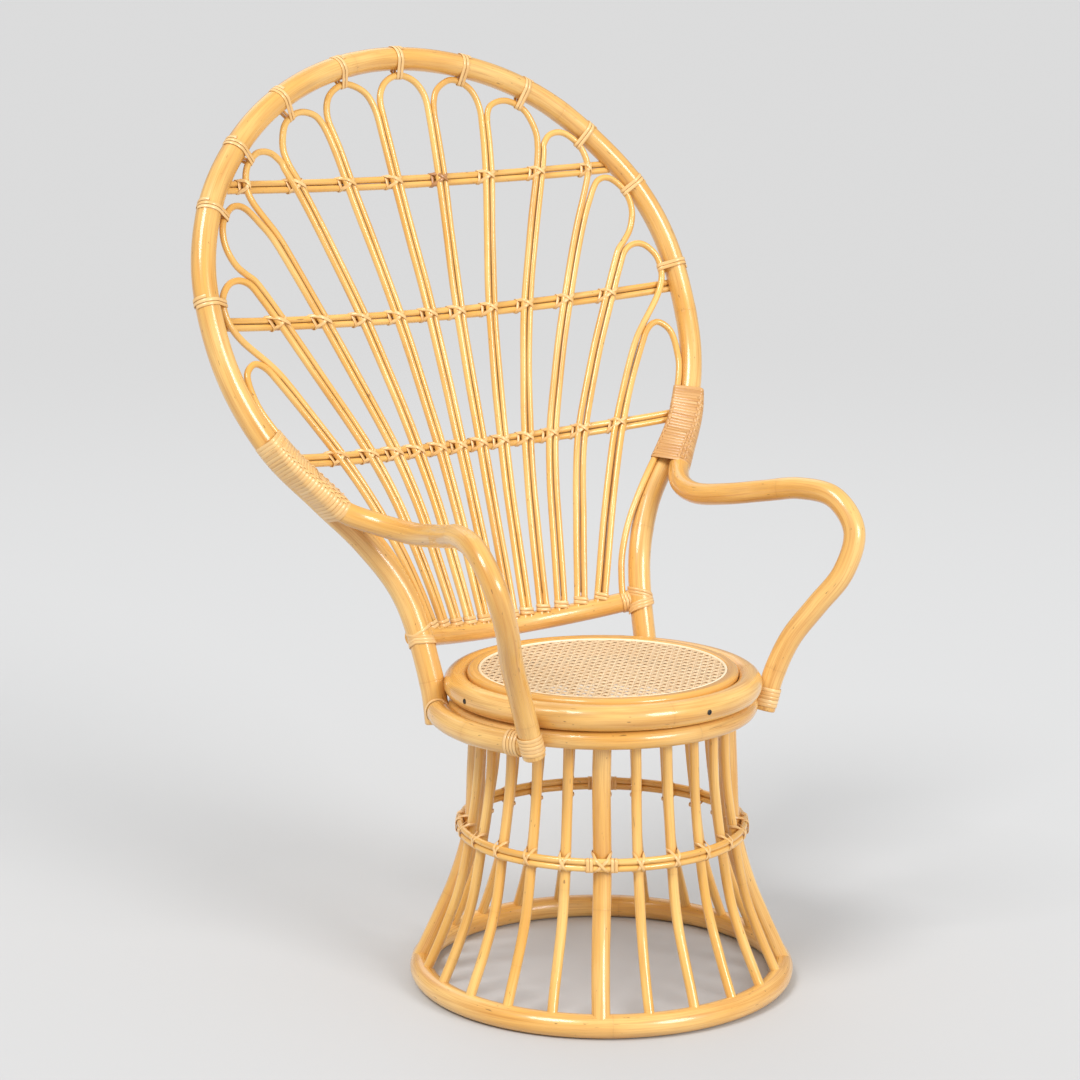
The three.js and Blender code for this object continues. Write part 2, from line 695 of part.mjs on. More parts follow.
// The least distance between points along one turn's far edges and the next turn's near edges
function leastGap(rings, steps) {
  const edge = (corner, from, to) => {
    const points = [];
    for (let row = from; row < to; row += 1) {
      for (let sample = 0; sample < strip.samples; sample += 1) {
        points.push(rings[row][corner].clone().lerp(rings[row + 1][corner], sample / strip.samples));
      }
    }
    return points;
  };
  let least = Infinity;
  for (let row = 0; row + 2 * steps < rings.length; row += steps) {
    for (const [far, near] of [[1, 0], [2, 3]]) {
      const next = edge(near, row + steps, row + 2 * steps);
      for (const point of edge(far, row, row + steps)) {
        least = Math.min(least, ...next.map((other) => other.distanceTo(point)));
      }
    }
  }
  return least;
}

// A long binding follows the outline round the hoop and the arm's tip together
function splicePlace(share, step) {
  const { centre, along, forward, radius, distance } = spliceAt(share);
  const downward = along.negate();
  const sideways = new THREE.Vector3().crossVectors(downward, forward);
  const lean = Math.acos((hoop.cane - radius) / distance);
  const onTip = step <= splice.tipSteps;
  const tipStep = (2 * lean) / splice.tipSteps;
  const hoopStep = (2 * Math.PI - 2 * lean) / splice.hoopSteps;
  const angle = onTip ? -lean + step * tipStep : lean + (step - splice.tipSteps - 1) * hoopStep;
  const cane = onTip ? radius : hoop.cane;
  const outward = forward.clone().multiplyScalar(Math.cos(angle)).addScaledVector(sideways, Math.sin(angle));
  const clearance = onTip ? crossGap : touchGap;
  const reach = (cane + clearance) / Math.cos((onTip ? tipStep : hoopStep) / 2);
  const middle = onTip ? centre.clone().addScaledVector(forward, distance) : centre;
  return { centre: middle, outward, reach, along: downward, width: spliceWidth };
}

const spliceLength = spliceAt(0).centre.distanceTo(spliceAt(1).centre);
const spliceWidth = spliceLength / splice.turns - strip.gap;
const spliceSteps = splice.tipSteps + splice.hoopSteps + 2;

function addSplices() {
  const rows = windingRows(splice.turns, spliceSteps, splicePlace);
  const solid = windingSolid('splice_binding', rows, spliceSteps);
  addNode(chair, 'splice_binding_right', solid, 'strip');
  addNode(chair, 'splice_binding_left', solid.mirror([1, 0, 0]), 'strip');
}

// A short binding runs round a single cane, whose centre and direction at a share of its length are given
function shortRows({ turns, pitch }, cane, centreAt) {
  return windingRows(turns, shortBinding.steps, (share, step) => {
    const { centre, along } = centreAt(share * turns * pitch);
    const side = new THREE.Vector3(0, 1, 0).cross(along).normalize();
    const other = new THREE.Vector3().crossVectors(along, side);
    const angle = (step / shortBinding.steps) * 2 * Math.PI;
    const outward = side.multiplyScalar(Math.cos(angle)).addScaledVector(other, Math.sin(angle));
    const reach = (cane + touchGap) / Math.cos(Math.PI / shortBinding.steps);
    return { centre, outward, reach, along, width: pitch - strip.gap };
  });
}

function addShortBindings() {
  const railRows = shortRows(railBinding, rail.cane, (run) => {
    return { centre: bindingStart.clone().addScaledVector(railAlong, run), along: railAlong };
  });
  const foot = footAt(sideRailHeight + footBinding.lift);
  const footStart = -(footBinding.turns * footBinding.pitch) / 2;
  const footRows = shortRows(footBinding, arm.cane, (run) => {
    return { centre: foot.centre.clone().addScaledVector(foot.along, footStart + run), along: foot.along };
  });
  for (const [name, rows] of [['rail_binding', railRows], ['foot_binding', footRows]]) {
    const solid = windingSolid(name, rows, shortBinding.steps);
    addNode(chair, `${name}_right`, solid, 'strip');
    addNode(chair, `${name}_left`, solid.mirror([1, 0, 0]), 'strip');
  }
}

addBase();
addWaistHoop();
addSeat();
addHoop();
addLoops();
addCrossbars();
addRail();
addArms();
addSideRails();
addSplices();
addShortBindings();

// The origin is on the floor under the middle of the chair's box
const box = new THREE.Box3().setFromObject(chair, true);
chair.position.y = -(box.min.y + box.max.y) / 2;

export default chair;
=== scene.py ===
import math
import random

import bmesh
import bpy
from mathutils import Matrix, Vector


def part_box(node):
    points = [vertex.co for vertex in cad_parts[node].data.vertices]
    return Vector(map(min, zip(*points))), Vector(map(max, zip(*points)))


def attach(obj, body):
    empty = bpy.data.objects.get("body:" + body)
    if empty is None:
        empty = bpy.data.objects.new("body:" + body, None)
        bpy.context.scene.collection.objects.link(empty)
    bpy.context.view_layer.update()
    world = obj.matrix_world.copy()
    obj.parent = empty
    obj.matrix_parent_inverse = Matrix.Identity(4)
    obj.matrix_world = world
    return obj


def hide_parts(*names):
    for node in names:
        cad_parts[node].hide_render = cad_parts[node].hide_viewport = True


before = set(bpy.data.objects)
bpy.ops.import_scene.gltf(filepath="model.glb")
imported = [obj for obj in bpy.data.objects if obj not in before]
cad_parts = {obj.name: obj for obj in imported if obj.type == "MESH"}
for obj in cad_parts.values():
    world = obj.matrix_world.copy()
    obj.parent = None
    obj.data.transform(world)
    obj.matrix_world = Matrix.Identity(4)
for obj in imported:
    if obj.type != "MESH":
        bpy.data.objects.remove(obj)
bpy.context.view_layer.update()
print("frame loaded:", len(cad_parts), "nodes")

# The chair's own measures in metres, counted from the seat's middle line; rows named as shares follow them
chair = {"height": 1.257, "seat": 0.4174, "foot": 0.2022, "lean": 0.2253, "leastBow": 0.266, "mostBow": 2.22,
         "bend": 0.2547, "soft": 0.0843}
rise = chair["height"] - chair["seat"]
seatLow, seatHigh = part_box("seat_ring")
seatMiddle = (seatLow + seatHigh) / 2
seatLine = Vector((seatMiddle.x, seatMiddle.y, 0.0))
up = Vector((0.0, 0.0, 1.0))
random.seed(11)


def scaled(share):
    return share * chair["height"]


def risen(share):
    return chair["seat"] + share * rise


# Paths

def spanAt(points, share):
    spans = len(points) - 1
    run = min(max(share, 0.0), 1.0) * spans
    index = min(int(run), spans - 1)
    return index, run - index, points[index], points[index + 1]


def blended(b, c, leave, arrive, w):
    return (b * (2 * w**3 - 3 * w**2 + 1) + c * (3 * w**2 - 2 * w**3)
            + leave * (w**3 - 2 * w**2 + w) + arrive * (w**3 - w**2))


# A smooth line through points that stand at uneven steps
def splineAt(points, share):
    index, w, b, c = spanAt(points, share)
    a = points[index - 1] if index else b * 2 - c
    d = points[index + 2] if index + 2 < len(points) else c * 2 - b
    ab, bc, cd = (max((q - p).length, 1e-5) ** 0.5 for p, q in ((a, b), (b, c), (c, d)))
    leave = ((b - a) / ab - (c - a) / (ab + bc) + (c - b) / bc) * bc
    arrive = ((c - b) / bc - (d - b) / (bc + cd) + (d - c) / cd) * bc
    return blended(b, c, leave, arrive, w)


# The same for the loops' seams and arches, whose points stand at nearly even steps
def flatSplineAt(points, share):
    index, w, b, c = spanAt(points, share)
    a = points[index - 1] if index else b
    d = points[index + 2] if index + 2 < len(points) else c
    return blended(b, c, (c - a) / 2, (d - b) / 2, w)


def evenPath(points, spacing):
    fine = 12 * (len(points) - 1)
    dense = [splineAt(points, i / fine) for i in range(fine + 1)]
    runs = [0.0]
    for p, q in zip(dense, dense[1:]):
        runs.append(runs[-1] + (q - p).length)
    count = max(2, round(runs[-1] / spacing))
    even, index = [], 0
    for step in range(count + 1):
        target = runs[-1] * step / count
        while index < len(runs) - 2 and runs[index + 1] < target:
            index += 1
        part = (target - runs[index]) / max(runs[index + 1] - runs[index], 1e-9)
        even.append(dense[index].lerp(dense[index + 1], part))
    return even


# A bent cane is never quite even: its line wanders a little
def wandered(path, amount):
    phases = [random.uniform(0, 6.28) for _ in range(3)]
    result = []
    for index, point in enumerate(path):
        fade = min(index, len(path) - 1 - index, 6) / 6
        t = index * 0.37
        drift = [math.sin(t * pace + phase) for pace, phase in zip((0.53, 0.41, 0.29), phases)]
        result.append(point + Vector(drift) * (amount * fade))
    return result


def mirrored(points):
    return [Vector((-p.x, p.y, p.z)) for p in points]


def sided(side, points):
    return points if side == 1 else mirrored(points)


def outwardAt(angle):
    return Vector((math.cos(angle), math.sin(angle), 0.0))


def roundAt(angle):
    return Vector((-math.sin(angle), math.cos(angle), 0.0))


def polar(radius, angle, height):
    return Vector((radius * math.cos(angle), radius * math.sin(angle), height)) + seatLine


# Sections along a path: the frame's x and y axes carry the section's half sizes, its z axis runs along

def turned(sideways, upward, along, place):
    return Matrix.Translation(place) @ Matrix((sideways, upward, along)).transposed().to_4x4()


def wayAlong(path, index):
    return (path[min(index + 1, len(path) - 1)] - path[max(index - 1, 0)]).normalized()


def caneFrames(path, radii):
    frames, side = [], None
    for index, place in enumerate(path):
        along = wayAlong(path, index)
        side = along.orthogonal() if side is None else side
        side = (side - along * side.dot(along)).normalized()
        frames.append(turned(side * radii[index], along.cross(side) * radii[index], along, place))
    return frames


def stripFrames(path, outwards, width, thickness):
    frames = []
    for index, place in enumerate(path):
        along = wayAlong(path, index)
        outward = outwards[index] - along * outwards[index].dot(along)
        outward.normalize()
        frames.append(turned(outward.cross(along) * (width / 2), outward * (thickness / 2), along, place))
    return frames


# A free end is rounded by a few closer and smaller sections
def roundedEnds(path, radii, edge):
    path, radii = list(path), list(radii)
    for _ in range(2):
        inward = (path[1] - path[0]).normalized()
        turns = [share * math.pi / 2 for share in (0.0, 0.35, 0.7, 1.0)]
        first, radius = path[0], radii[0]
        path[0:1] = [first + inward * (edge * (1 - math.cos(turn))) for turn in turns]
        radii[0:1] = [radius - edge * (1 - math.sin(turn)) for turn in turns]
        path.reverse()
        radii.reverse()
    return path, radii


def keepPart(parts, bm):
    part = bpy.data.meshes.new("part")
    bm.to_mesh(part)
    bm.free()
    parts.append(part)


# Each cane starts somewhere else in the grain
def grainStart():
    return random.uniform(0.0, 40.0)


# A cane swells a little at its joints
swelling = {"rise": 0.018, "reach": 0.008}


# A straight tube is cut into as many rings as there are frames, and each ring moves to its frame;
# every vertex keeps its place round and along the cane for the grain
def sweep(parts, frames, sides, start, joints=0.0):
    bm = bmesh.new()
    coord = bm.verts.layers.float_vector.new("caneCoord")
    bmesh.ops.create_cone(bm, cap_ends=True, segments=sides, radius1=1.0, radius2=1.0, depth=1.0)
    lengthwise = [edge for edge in bm.edges if abs(edge.verts[0].co.z - edge.verts[1].co.z) > 0.5]
    bmesh.ops.subdivide_edges(bm, edges=lengthwise, cuts=len(frames) - 2)
    runs = [start]
    for before, now in zip(frames, frames[1:]):
        runs.append(runs[-1] + (now.translation - before.translation).length)
    scale = frames[len(frames) // 2].to_scale()
    for vert in bm.verts:
        ring = round((vert.co.z + 0.5) * (len(frames) - 1))
        flat = Vector((vert.co.x, vert.co.y, 0.0))
        vert[coord] = Vector((flat.x * scale.x, flat.y * scale.y, runs[ring]))
        if joints:
            away = abs(runs[ring] / joints % 1.0 - 0.5) * joints
            flat *= 1 + swelling["rise"] * math.exp(-(away / swelling["reach"]) ** 2)
        vert.co = frames[ring] @ flat
    bmesh.ops.recalc_face_normals(bm, faces=bm.faces[:])
    for face in bm.faces:
        face.smooth = len(face.verts) == 4
        if len(face.verts) > 4:
            for edge in face.edges:
                edge.smooth = False
    keepPart(parts, bm)


def sweepCane(parts, path, radius, sides, wander, edge=0.0, joints=0.0):
    radii = radius if isinstance(radius, list) else [radius] * len(path)
    path = wandered(path, wander)
    if edge:
        path, radii = roundedEnds(path, radii, edge)
    sweep(parts, caneFrames(path, radii), sides, grainStart(), joints)


def sweepStrip(parts, path, outwards, width, thickness, sides=8):
    sweep(parts, stripFrames(path, outwards, width, thickness), sides, grainStart())


def linked(name, data):
    thing = bpy.data.objects.new(name, data)
    bpy.context.scene.collection.objects.link(thing)
    return thing


def finishPiece(name, parts, paint, slot, *replaced):
    bm = bmesh.new()
    for part in parts:
        bm.from_mesh(part)
        bpy.data.meshes.remove(part)
    mesh = bpy.data.meshes.new(name)
    bm.to_mesh(mesh)
    bm.free()
    mesh.materials.append(paints[paint])
    piece = linked(name, mesh)
    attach(piece, "root")
    if replaced:
        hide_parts(*replaced)
    return piece


# A piece that is one cane
def finishCane(name, node, path, radius, paint="lacquered_cane", slot="cane", **shape):
    parts = []
    sweepCane(parts, path, radius, **shape)
    finishPiece(name, parts, paint, slot, node)


# Materials

def place(tree, kind, **settings):
    node = tree.nodes.new(kind)
    for name, value in settings.items():
        setattr(node, name, value)
    return node


def feed(tree, socket, value):
    if isinstance(value, bpy.types.NodeSocket):
        tree.links.new(value, socket)
    else:
        socket.default_value = value


def noiseOn(tree, vector, stretch, detail):
    stretched = place(tree, "ShaderNodeVectorMath", operation="MULTIPLY")
    feed(tree, stretched.inputs[0], vector)
    stretched.inputs[1].default_value = stretch
    noise = place(tree, "ShaderNodeTexNoise")
    feed(tree, noise.inputs["Vector"], stretched.outputs[0])
    noise.inputs["Scale"].default_value = 1.0
    noise.inputs["Detail"].default_value = detail
    return noise.outputs["Fac"]


def ranged(tree, value, low, high, toLow=0.0, toHigh=1.0):
    node = place(tree, "ShaderNodeMapRange", interpolation_type="SMOOTHSTEP")
    feed(tree, node.inputs[0], value)
    for socket, number in zip(node.inputs[1:5], (low, high, toLow, toHigh)):
        socket.default_value = number
    return node.outputs[0]


def maths(tree, operation, first, second=0.0):
    node = place(tree, "ShaderNodeMath", operation=operation)
    feed(tree, node.inputs[0], first)
    feed(tree, node.inputs[1], second)
    return node.outputs[0]


def times(tree, first, second):
    return maths(tree, "MULTIPLY", first, second)


def mixed(tree, share, first, second):
    node = place(tree, "ShaderNodeMix", data_type="RGBA")
    feed(tree, node.inputs[0], share)
    feed(tree, node.inputs[6], first)
    feed(tree, node.inputs[7], second)
    return node.outputs[2]


def newMaterial(name):
    material = bpy.data.materials.new(name)
    material.use_nodes = True
    return material, material.node_tree, material.node_tree.nodes["Principled BSDF"].inputs


def addSockets(tree, way, kind, *names):
    for name in names:
        tree.interface.new_socket(name=name, in_out=way, socket_type=kind)


# Layers of a cane's skin: how the noise is stretched, its detail, and the part of its range that shows
skin = {"layers": {"fibres": ((900, 900, 14), 3.0, 0.42, 0.68), "bands": ((120, 120, 7), 2.0, 0.4, 0.72),
                   "mottle": ((18, 18, 6), 2.0, 0.3, 0.7), "smoke": ((70, 70, 9), 4.0, 0.53, 0.78),
                   "specks": ((330, 330, 95), 1.0, 0.735, 0.79), "dashes": ((420, 420, 40), 1.0, 0.74, 0.8)},
        "line": (0.0003, 0.0013), "lineShare": 0.09, "lineColour": (0.16, 0.07, 0.02, 1.0),
        "halo": (0.0, 0.012), "haloShare": 0.1, "fleckColour": (0.13, 0.05, 0.015, 1.0),
        "rough": 0.24, "fibreRough": 0.1, "mottleRough": 0.08, "fibreHeight": 0.25, "bumpDepth": 0.0006}
grainColours = ("Pale", "Honey", "Deep", "Smoke")
grainAmounts = ("Streaks", "Specks", "Joints", "Spacing", "Smoky")


# Long fibres, soft bands, grey-brown mottling, small dark flecks and a faint line at each joint
def caneGroup():
    tree = bpy.data.node_groups.new("caneGrain", "ShaderNodeTree")
    addSockets(tree, "INPUT", "NodeSocketVector", "Coord")
    addSockets(tree, "INPUT", "NodeSocketColor", *grainColours)
    addSockets(tree, "INPUT", "NodeSocketFloat", *grainAmounts)
    addSockets(tree, "OUTPUT", "NodeSocketColor", "Color")
    addSockets(tree, "OUTPUT", "NodeSocketFloat", "Roughness", "Height")
    given = place(tree, "NodeGroupInput").outputs
    split = place(tree, "ShaderNodeSeparateXYZ")
    feed(tree, split.inputs[0], given["Coord"])
    layers = {}
    for name, (stretch, detail, low, high) in skin["layers"].items():
        layers[name] = ranged(tree, noiseOn(tree, given["Coord"], stretch, detail), low, high)
    phase = maths(tree, "FRACT", maths(tree, "DIVIDE", split.outputs[2], given["Spacing"]))
    away = times(tree, maths(tree, "ABSOLUTE", maths(tree, "SUBTRACT", phase, 0.5)), given["Spacing"])
    line = times(tree, ranged(tree, away, *skin["line"], 1.0, 0.0), given["Joints"])
    halo = times(tree, ranged(tree, away, *skin["halo"], 1.0, 0.0), given["Joints"])
    colour = mixed(tree, layers["mottle"], given["Honey"], given["Pale"])
    grain = times(tree, maths(tree, "ADD", layers["fibres"], layers["bands"]), given["Streaks"])
    colour = mixed(tree, grain, colour, given["Deep"])
    colour = mixed(tree, times(tree, layers["smoke"], given["Smoky"]), colour, given["Smoke"])
    colour = mixed(tree, times(tree, halo, skin["haloShare"]), colour, given["Deep"])
    colour = mixed(tree, times(tree, line, skin["lineShare"]), colour, skin["lineColour"])
    marks = times(tree, maths(tree, "MAXIMUM", layers["specks"], layers["dashes"]), given["Specks"])
    colour = mixed(tree, marks, colour, skin["fleckColour"])
    fibreRough = times(tree, layers["fibres"], skin["fibreRough"])
    rough = maths(tree, "ADD", fibreRough, times(tree, layers["mottle"], skin["mottleRough"]))
    height = times(tree, layers["fibres"], skin["fibreHeight"])
    out = place(tree, "NodeGroupOutput")
    feed(tree, out.inputs["Color"], colour)
    feed(tree, out.inputs["Roughness"], maths(tree, "ADD", rough, skin["rough"]))
    feed(tree, out.inputs["Height"], maths(tree, "SUBTRACT", height, line))
    return tree


caneGrain = caneGroup()
honeyLook = {"pale": (0.9, 0.565, 0.19), "honey": (0.81, 0.435, 0.1), "deep": (0.5, 0.18, 0.02),
             "smoke": (0.45, 0.26, 0.09), "streaks": 0.34, "specks": 0.6, "joints": 1.0, "spacing": 0.37,
             "smoky": 0.35, "bump": 0.22, "coat": 0.7, "coatRoughness": 0.12, "bending": 1.5}
looks = {
    "lacquered_cane": {},
    "thin_cane": {"pale": (0.92, 0.58, 0.18), "honey": (0.85, 0.46, 0.1), "streaks": 0.25, "spacing": 0.29,
                  "joints": 0.7, "smoky": 0.12},
    "deep_cane": {"pale": (0.82, 0.47, 0.12), "honey": (0.72, 0.36, 0.07), "streaks": 0.25},
    "split_cane": {"pale": (0.93, 0.63, 0.29), "honey": (0.86, 0.51, 0.18), "deep": (0.5, 0.22, 0.06),
                   "streaks": 0.2, "specks": 0.4, "joints": 0.0, "smoky": 0.0, "coat": 0.35,
                   "coatRoughness": 0.25},
    "dark_split_cane": {"pale": (0.62, 0.32, 0.14), "honey": (0.5, 0.23, 0.08), "deep": (0.22, 0.08, 0.02),
                        "streaks": 0.3, "specks": 0.5, "joints": 0.0, "coat": 0.35, "coatRoughness": 0.25},
    # Painted shade: a darker strip finish for the right splice wrap, to offset light falling too strongly on
    # that side
    "shade_painted_strip": {"pale": (0.74, 0.45, 0.19), "honey": (0.64, 0.33, 0.11), "deep": (0.4, 0.16, 0.04),
                   "streaks": 0.35, "specks": 0.5, "joints": 0.0, "coat": 0.3, "coatRoughness": 0.3},
    "seat_webbing": {"pale": (0.9, 0.71, 0.47), "honey": (0.85, 0.62, 0.37), "deep": (0.6, 0.34, 0.14),
                     "streaks": 0.15, "specks": 0.3, "joints": 0.0, "smoky": 0.0, "coat": 0.05,
                     "coatRoughness": 0.4},
    "seat_cord": {"pale": (0.97, 0.86, 0.64), "honey": (0.93, 0.78, 0.53), "deep": (0.7, 0.5, 0.25),
                  "streaks": 0.1, "specks": 0.0, "joints": 0.0, "smoky": 0.0, "coat": 0.1,
                  "coatRoughness": 0.4},
    # Dark colour for painted shade in grooves and hollows
    "painted_groove_shade": {"pale": (0.45, 0.2, 0.05), "honey": (0.32, 0.12, 0.03), "deep": (0.08, 0.025, 0.006),
                     "streaks": 0.4, "specks": 0.0, "joints": 0.0, "smoky": 0.0, "coat": 0.0,
                     "coatRoughness": 0.5},
}


def caneMaterial(name, look):
    material, tree, sockets = newMaterial(name)
    grain = place(tree, "ShaderNodeGroup", node_tree=caneGrain)
    coord = place(tree, "ShaderNodeAttribute", attribute_name="caneCoord")
    feed(tree, grain.inputs["Coord"], coord.outputs["Vector"])
    for socket in grainColours:
        grain.inputs[socket].default_value = (*look[socket.lower()], 1.0)
    for socket in grainAmounts:
        grain.inputs[socket].default_value = look[socket.lower()]
    bump = place(tree, "ShaderNodeBump")
    bump.inputs["Strength"].default_value = look["bump"]
    bump.inputs["Distance"].default_value = skin["bumpDepth"]
    feed(tree, bump.inputs["Height"], grain.outputs["Height"])
    feed(tree, sockets["Base Color"], grain.outputs["Color"])
    feed(tree, sockets["Roughness"], grain.outputs["Roughness"])
    feed(tree, sockets["Normal"], bump.outputs[0])
    sockets["Coat Weight"].default_value = look["coat"]
    sockets["Coat Roughness"].default_value = look["coatRoughness"]
    sockets["IOR"].default_value = look["bending"]
    return material


# Screws: dull dark steel, a little scratched
steel = {"scratch": (900, 900, 900), "range": (0.4, 0.7), "dull": (0.05, 0.045, 0.04, 1.0),
         "bare": (0.2, 0.18, 0.16, 1.0), "rough": 0.3, "roughWear": 0.25, "metal": 0.9}


def steelMaterial():
    material, tree, sockets = newMaterial("dark_steel")
    coord = place(tree, "ShaderNodeTexCoord").outputs["Object"]
    wear = ranged(tree, noiseOn(tree, coord, steel["scratch"], 3.0), *steel["range"])
    feed(tree, sockets["Base Color"], mixed(tree, wear, steel["dull"], steel["bare"]))
    rough = maths(tree, "ADD", times(tree, wear, steel["roughWear"]), steel["rough"])
    feed(tree, sockets["Roughness"], rough)
    sockets["Metallic"].default_value = steel["metal"]
    return material


paints = {name: caneMaterial(name, {**honeyLook, **look}) for name, look in looks.items()}
paints["dark_steel"] = steelMaterial()
print("materials made")


# The camera, the floor and the light

view = {"place": (-2.4295, -3.0034, 1.379), "towards": (0.5999, 0.7761, -0.1946), "lens": 97.4, "roll": 0.04}
camera = linked("camera", bpy.data.cameras.new("camera"))
camera.data.sensor_width = 36.0
camera.data.lens = view["lens"]
camera.data.clip_end = 900.0
camera.location = Vector(view["place"]) + seatLine
camera.rotation_mode = "QUATERNION"
camera.rotation_quaternion = (Vector(view["towards"]).to_track_quat("-Z", "Y")
                              @ Matrix.Rotation(math.radians(view["roll"]), 3, "Z").to_quaternion())
bpy.context.scene.camera = camera
bpy.context.scene.view_settings.view_transform = "Standard"

# Suns with a wide disc light the floor evenly however far it reaches: where from, how strong, how wide. The
# floor's near and far colours paint a pool of light round the chair
studio = {"near": (0.56, 0.563, 0.566), "far": (0.51, 0.51, 0.511), "fade": (1.2, 7.0), "reach": 400.0,
          "world": 0.7, "reflected": 0.35, "backdrop": 0.72,
          "suns": (((-2.36, -0.5, 3.3), 1.6, 22.0), ((0.3, -2.6, 1.3), 1.6, 22.0),
                   ((1.5, 3.4, 3.0), 0.3, 40.0))}
bm = bmesh.new()
bmesh.ops.create_circle(bm, cap_ends=True, radius=studio["reach"], segments=64)
floorMesh = bpy.data.meshes.new("floor")
bm.to_mesh(floorMesh)
bm.free()
floor = linked("floor", floorMesh)
floorPaint, floorTree, floorSockets = newMaterial("studio_floor")
# Painted light: the floor's colour is lighter near the chair and fades darker far off, a painted pool of
# light
fromMiddle = place(floorTree, "ShaderNodeVectorMath", operation="LENGTH")
feed(floorTree, fromMiddle.inputs[0], place(floorTree, "ShaderNodeTexCoord").outputs["Object"])
fade = ranged(floorTree, fromMiddle.outputs["Value"], *studio["fade"])
floorPaintedLight = mixed(floorTree, fade, (*studio["near"], 1.0), (*studio["far"], 1.0))
feed(floorTree, floorSockets["Base Color"], floorPaintedLight)
floorSockets["Roughness"].default_value = 1.0
floorSockets["Specular IOR Level"].default_value = 0.0
floorMesh.materials.append(floorPaint)

world = bpy.data.worlds.new("studio")
world.use_nodes = True
bpy.context.scene.world = world
skyTree = world.node_tree
rays = place(skyTree, "ShaderNodeLightPath").outputs
strength = studio["world"]
for ray, light in (("Is Glossy Ray", "reflected"), ("Is Camera Ray", "backdrop")):
    chosen = place(skyTree, "ShaderNodeMix", data_type="FLOAT")
    feed(skyTree, chosen.inputs[0], rays[ray])
    feed(skyTree, chosen.inputs[2], strength)
    feed(skyTree, chosen.inputs[3], studio[light])
    strength = chosen.outputs[0]
skySockets = skyTree.nodes["Background"].inputs
skySockets[0].default_value = (1.0, 1.0, 1.0, 1.0)
feed(skyTree, skySockets[1], strength)
for number, (spot, power, wide) in enumerate(studio["suns"]):
    lamp = bpy.data.lights.new(f"soft_sun_{number + 1}", "SUN")
    lamp.energy, lamp.angle = power, math.radians(wide)
    sun = linked(lamp.name, lamp)
    sun.location = spot
    sun.rotation_euler = (-Vector(spot)).to_track_quat("-Z", "Y").to_euler()
print("studio made")


# The back's surface leans and bows; pieces lie on it or behind it

def backDepth(across, height):
    t = (height - chair["seat"]) / rise
    bow = chair["leastBow"] + chair["mostBow"] / (1 + math.exp((t - chair["bend"]) / chair["soft"]))
    return chair["foot"] + scaled(chair["lean"]) * t - bow * across * across / chair["height"]


def onBack(across, height, behind=0.0):
    place = Vector((across, backDepth(across, height), height)) + seatLine
    if behind:
        step = 0.0043
        sideways = onBack(across + step, height) - onBack(across - step, height)
        upward = onBack(across, height + step) - onBack(across, height - step)
        place += upward.cross(sideways).normalized() * behind
    return place


# Rows of the hoop: across, rise, and how far behind the back's surface
hoop = {"cane": 0.0167, "taper": 0.0012, "footHeight": 0.362, "footRadius": 0.2247, "seatRadius": 0.2321,
        "seatTurn": 35.8, "footTurn": 33.0,
        "rows": ((0, .9805, 0), (.0705, .9707, -.0017), (.1383, .9424, -.0022), (.2005, .8953, .0004),
                 (.2532, .8296, .003), (.2948, .7512, .0027), (.3198, .6601, .0024), (.3244, .563, .001),
                 (.3142, .4663, .003), (.2872, .3773, .0111), (.2424, .2998, .0155), (.1967, .2234, .0116),
                 (.1639, .1364, .0007))}
rightHalf = [onBack(scaled(x), risen(z)) + Vector((0.0, scaled(y), 0.0)) for x, z, y in hoop["rows"]]
rightHalf.append(polar(hoop["seatRadius"], math.radians(hoop["seatTurn"]), chair["seat"]))
rightHalf.append(polar(hoop["footRadius"], math.radians(hoop["footTurn"]), hoop["footHeight"]))
hoopPoints = mirrored(rightHalf[:0:-1]) + rightHalf


# The share of the hoop's length at which its right side passes a height
def hoopShareAt(height):
    low, high = 0.5, 1.0
    for _ in range(30):
        middle = (low + high) / 2
        if splineAt(hoopPoints, middle).z > height:
            low = middle
        else:
            high = middle
    return low


def hoopRadius(share):
    return hoop["cane"] + hoop["taper"] * (0.5 - share)


def hoopPlace(share):
    along = splineAt(hoopPoints, share + 0.002) - splineAt(hoopPoints, share - 0.002)
    return splineAt(hoopPoints, share), along.normalized()


def hoopAcross(height):
    return splineAt(hoopPoints, hoopShareAt(height)).x


path = evenPath(hoopPoints, 0.008)
radii = [hoopRadius(i / (len(path) - 1)) for i in range(len(path))]
finishCane("hoop_cane", "back_hoop", path, radii, sides=32, wander=0.0004, edge=0.003, joints=0.37)
print("hoop made")


# The rail and the crossbars, behind the loops

rail = {"cane": 0.0143, "behind": 0.008, "middle": 0.456, "rise": 0.815}
bars = {"cane": 0.0047, "gap": 0.0001, "behind": 0.0106,
        "rows": ((.3423, .254), (.5595, .141), (.7793, .086))}


def railHeight(across):
    return rail["middle"] + rail["rise"] * across * across / chair["height"]


def barHeight(index, across):
    height, rising = bars["rows"][index]
    return risen(height) + rising * across * across / chair["height"]


railReach = hoopAcross(railHeight(hoopAcross(railHeight(0.0))))
railLine = []
for step in range(7):
    across = railReach * (step / 3 - 1)
    railLine.append(onBack(across, railHeight(across), rail["behind"]))
railAlong = (railLine[-1] - railLine[-2]).normalized()
finishCane("rail_cane", "back_rail", evenPath(railLine, 0.008), rail["cane"],
           sides=28, wander=0.0004, joints=0.37)

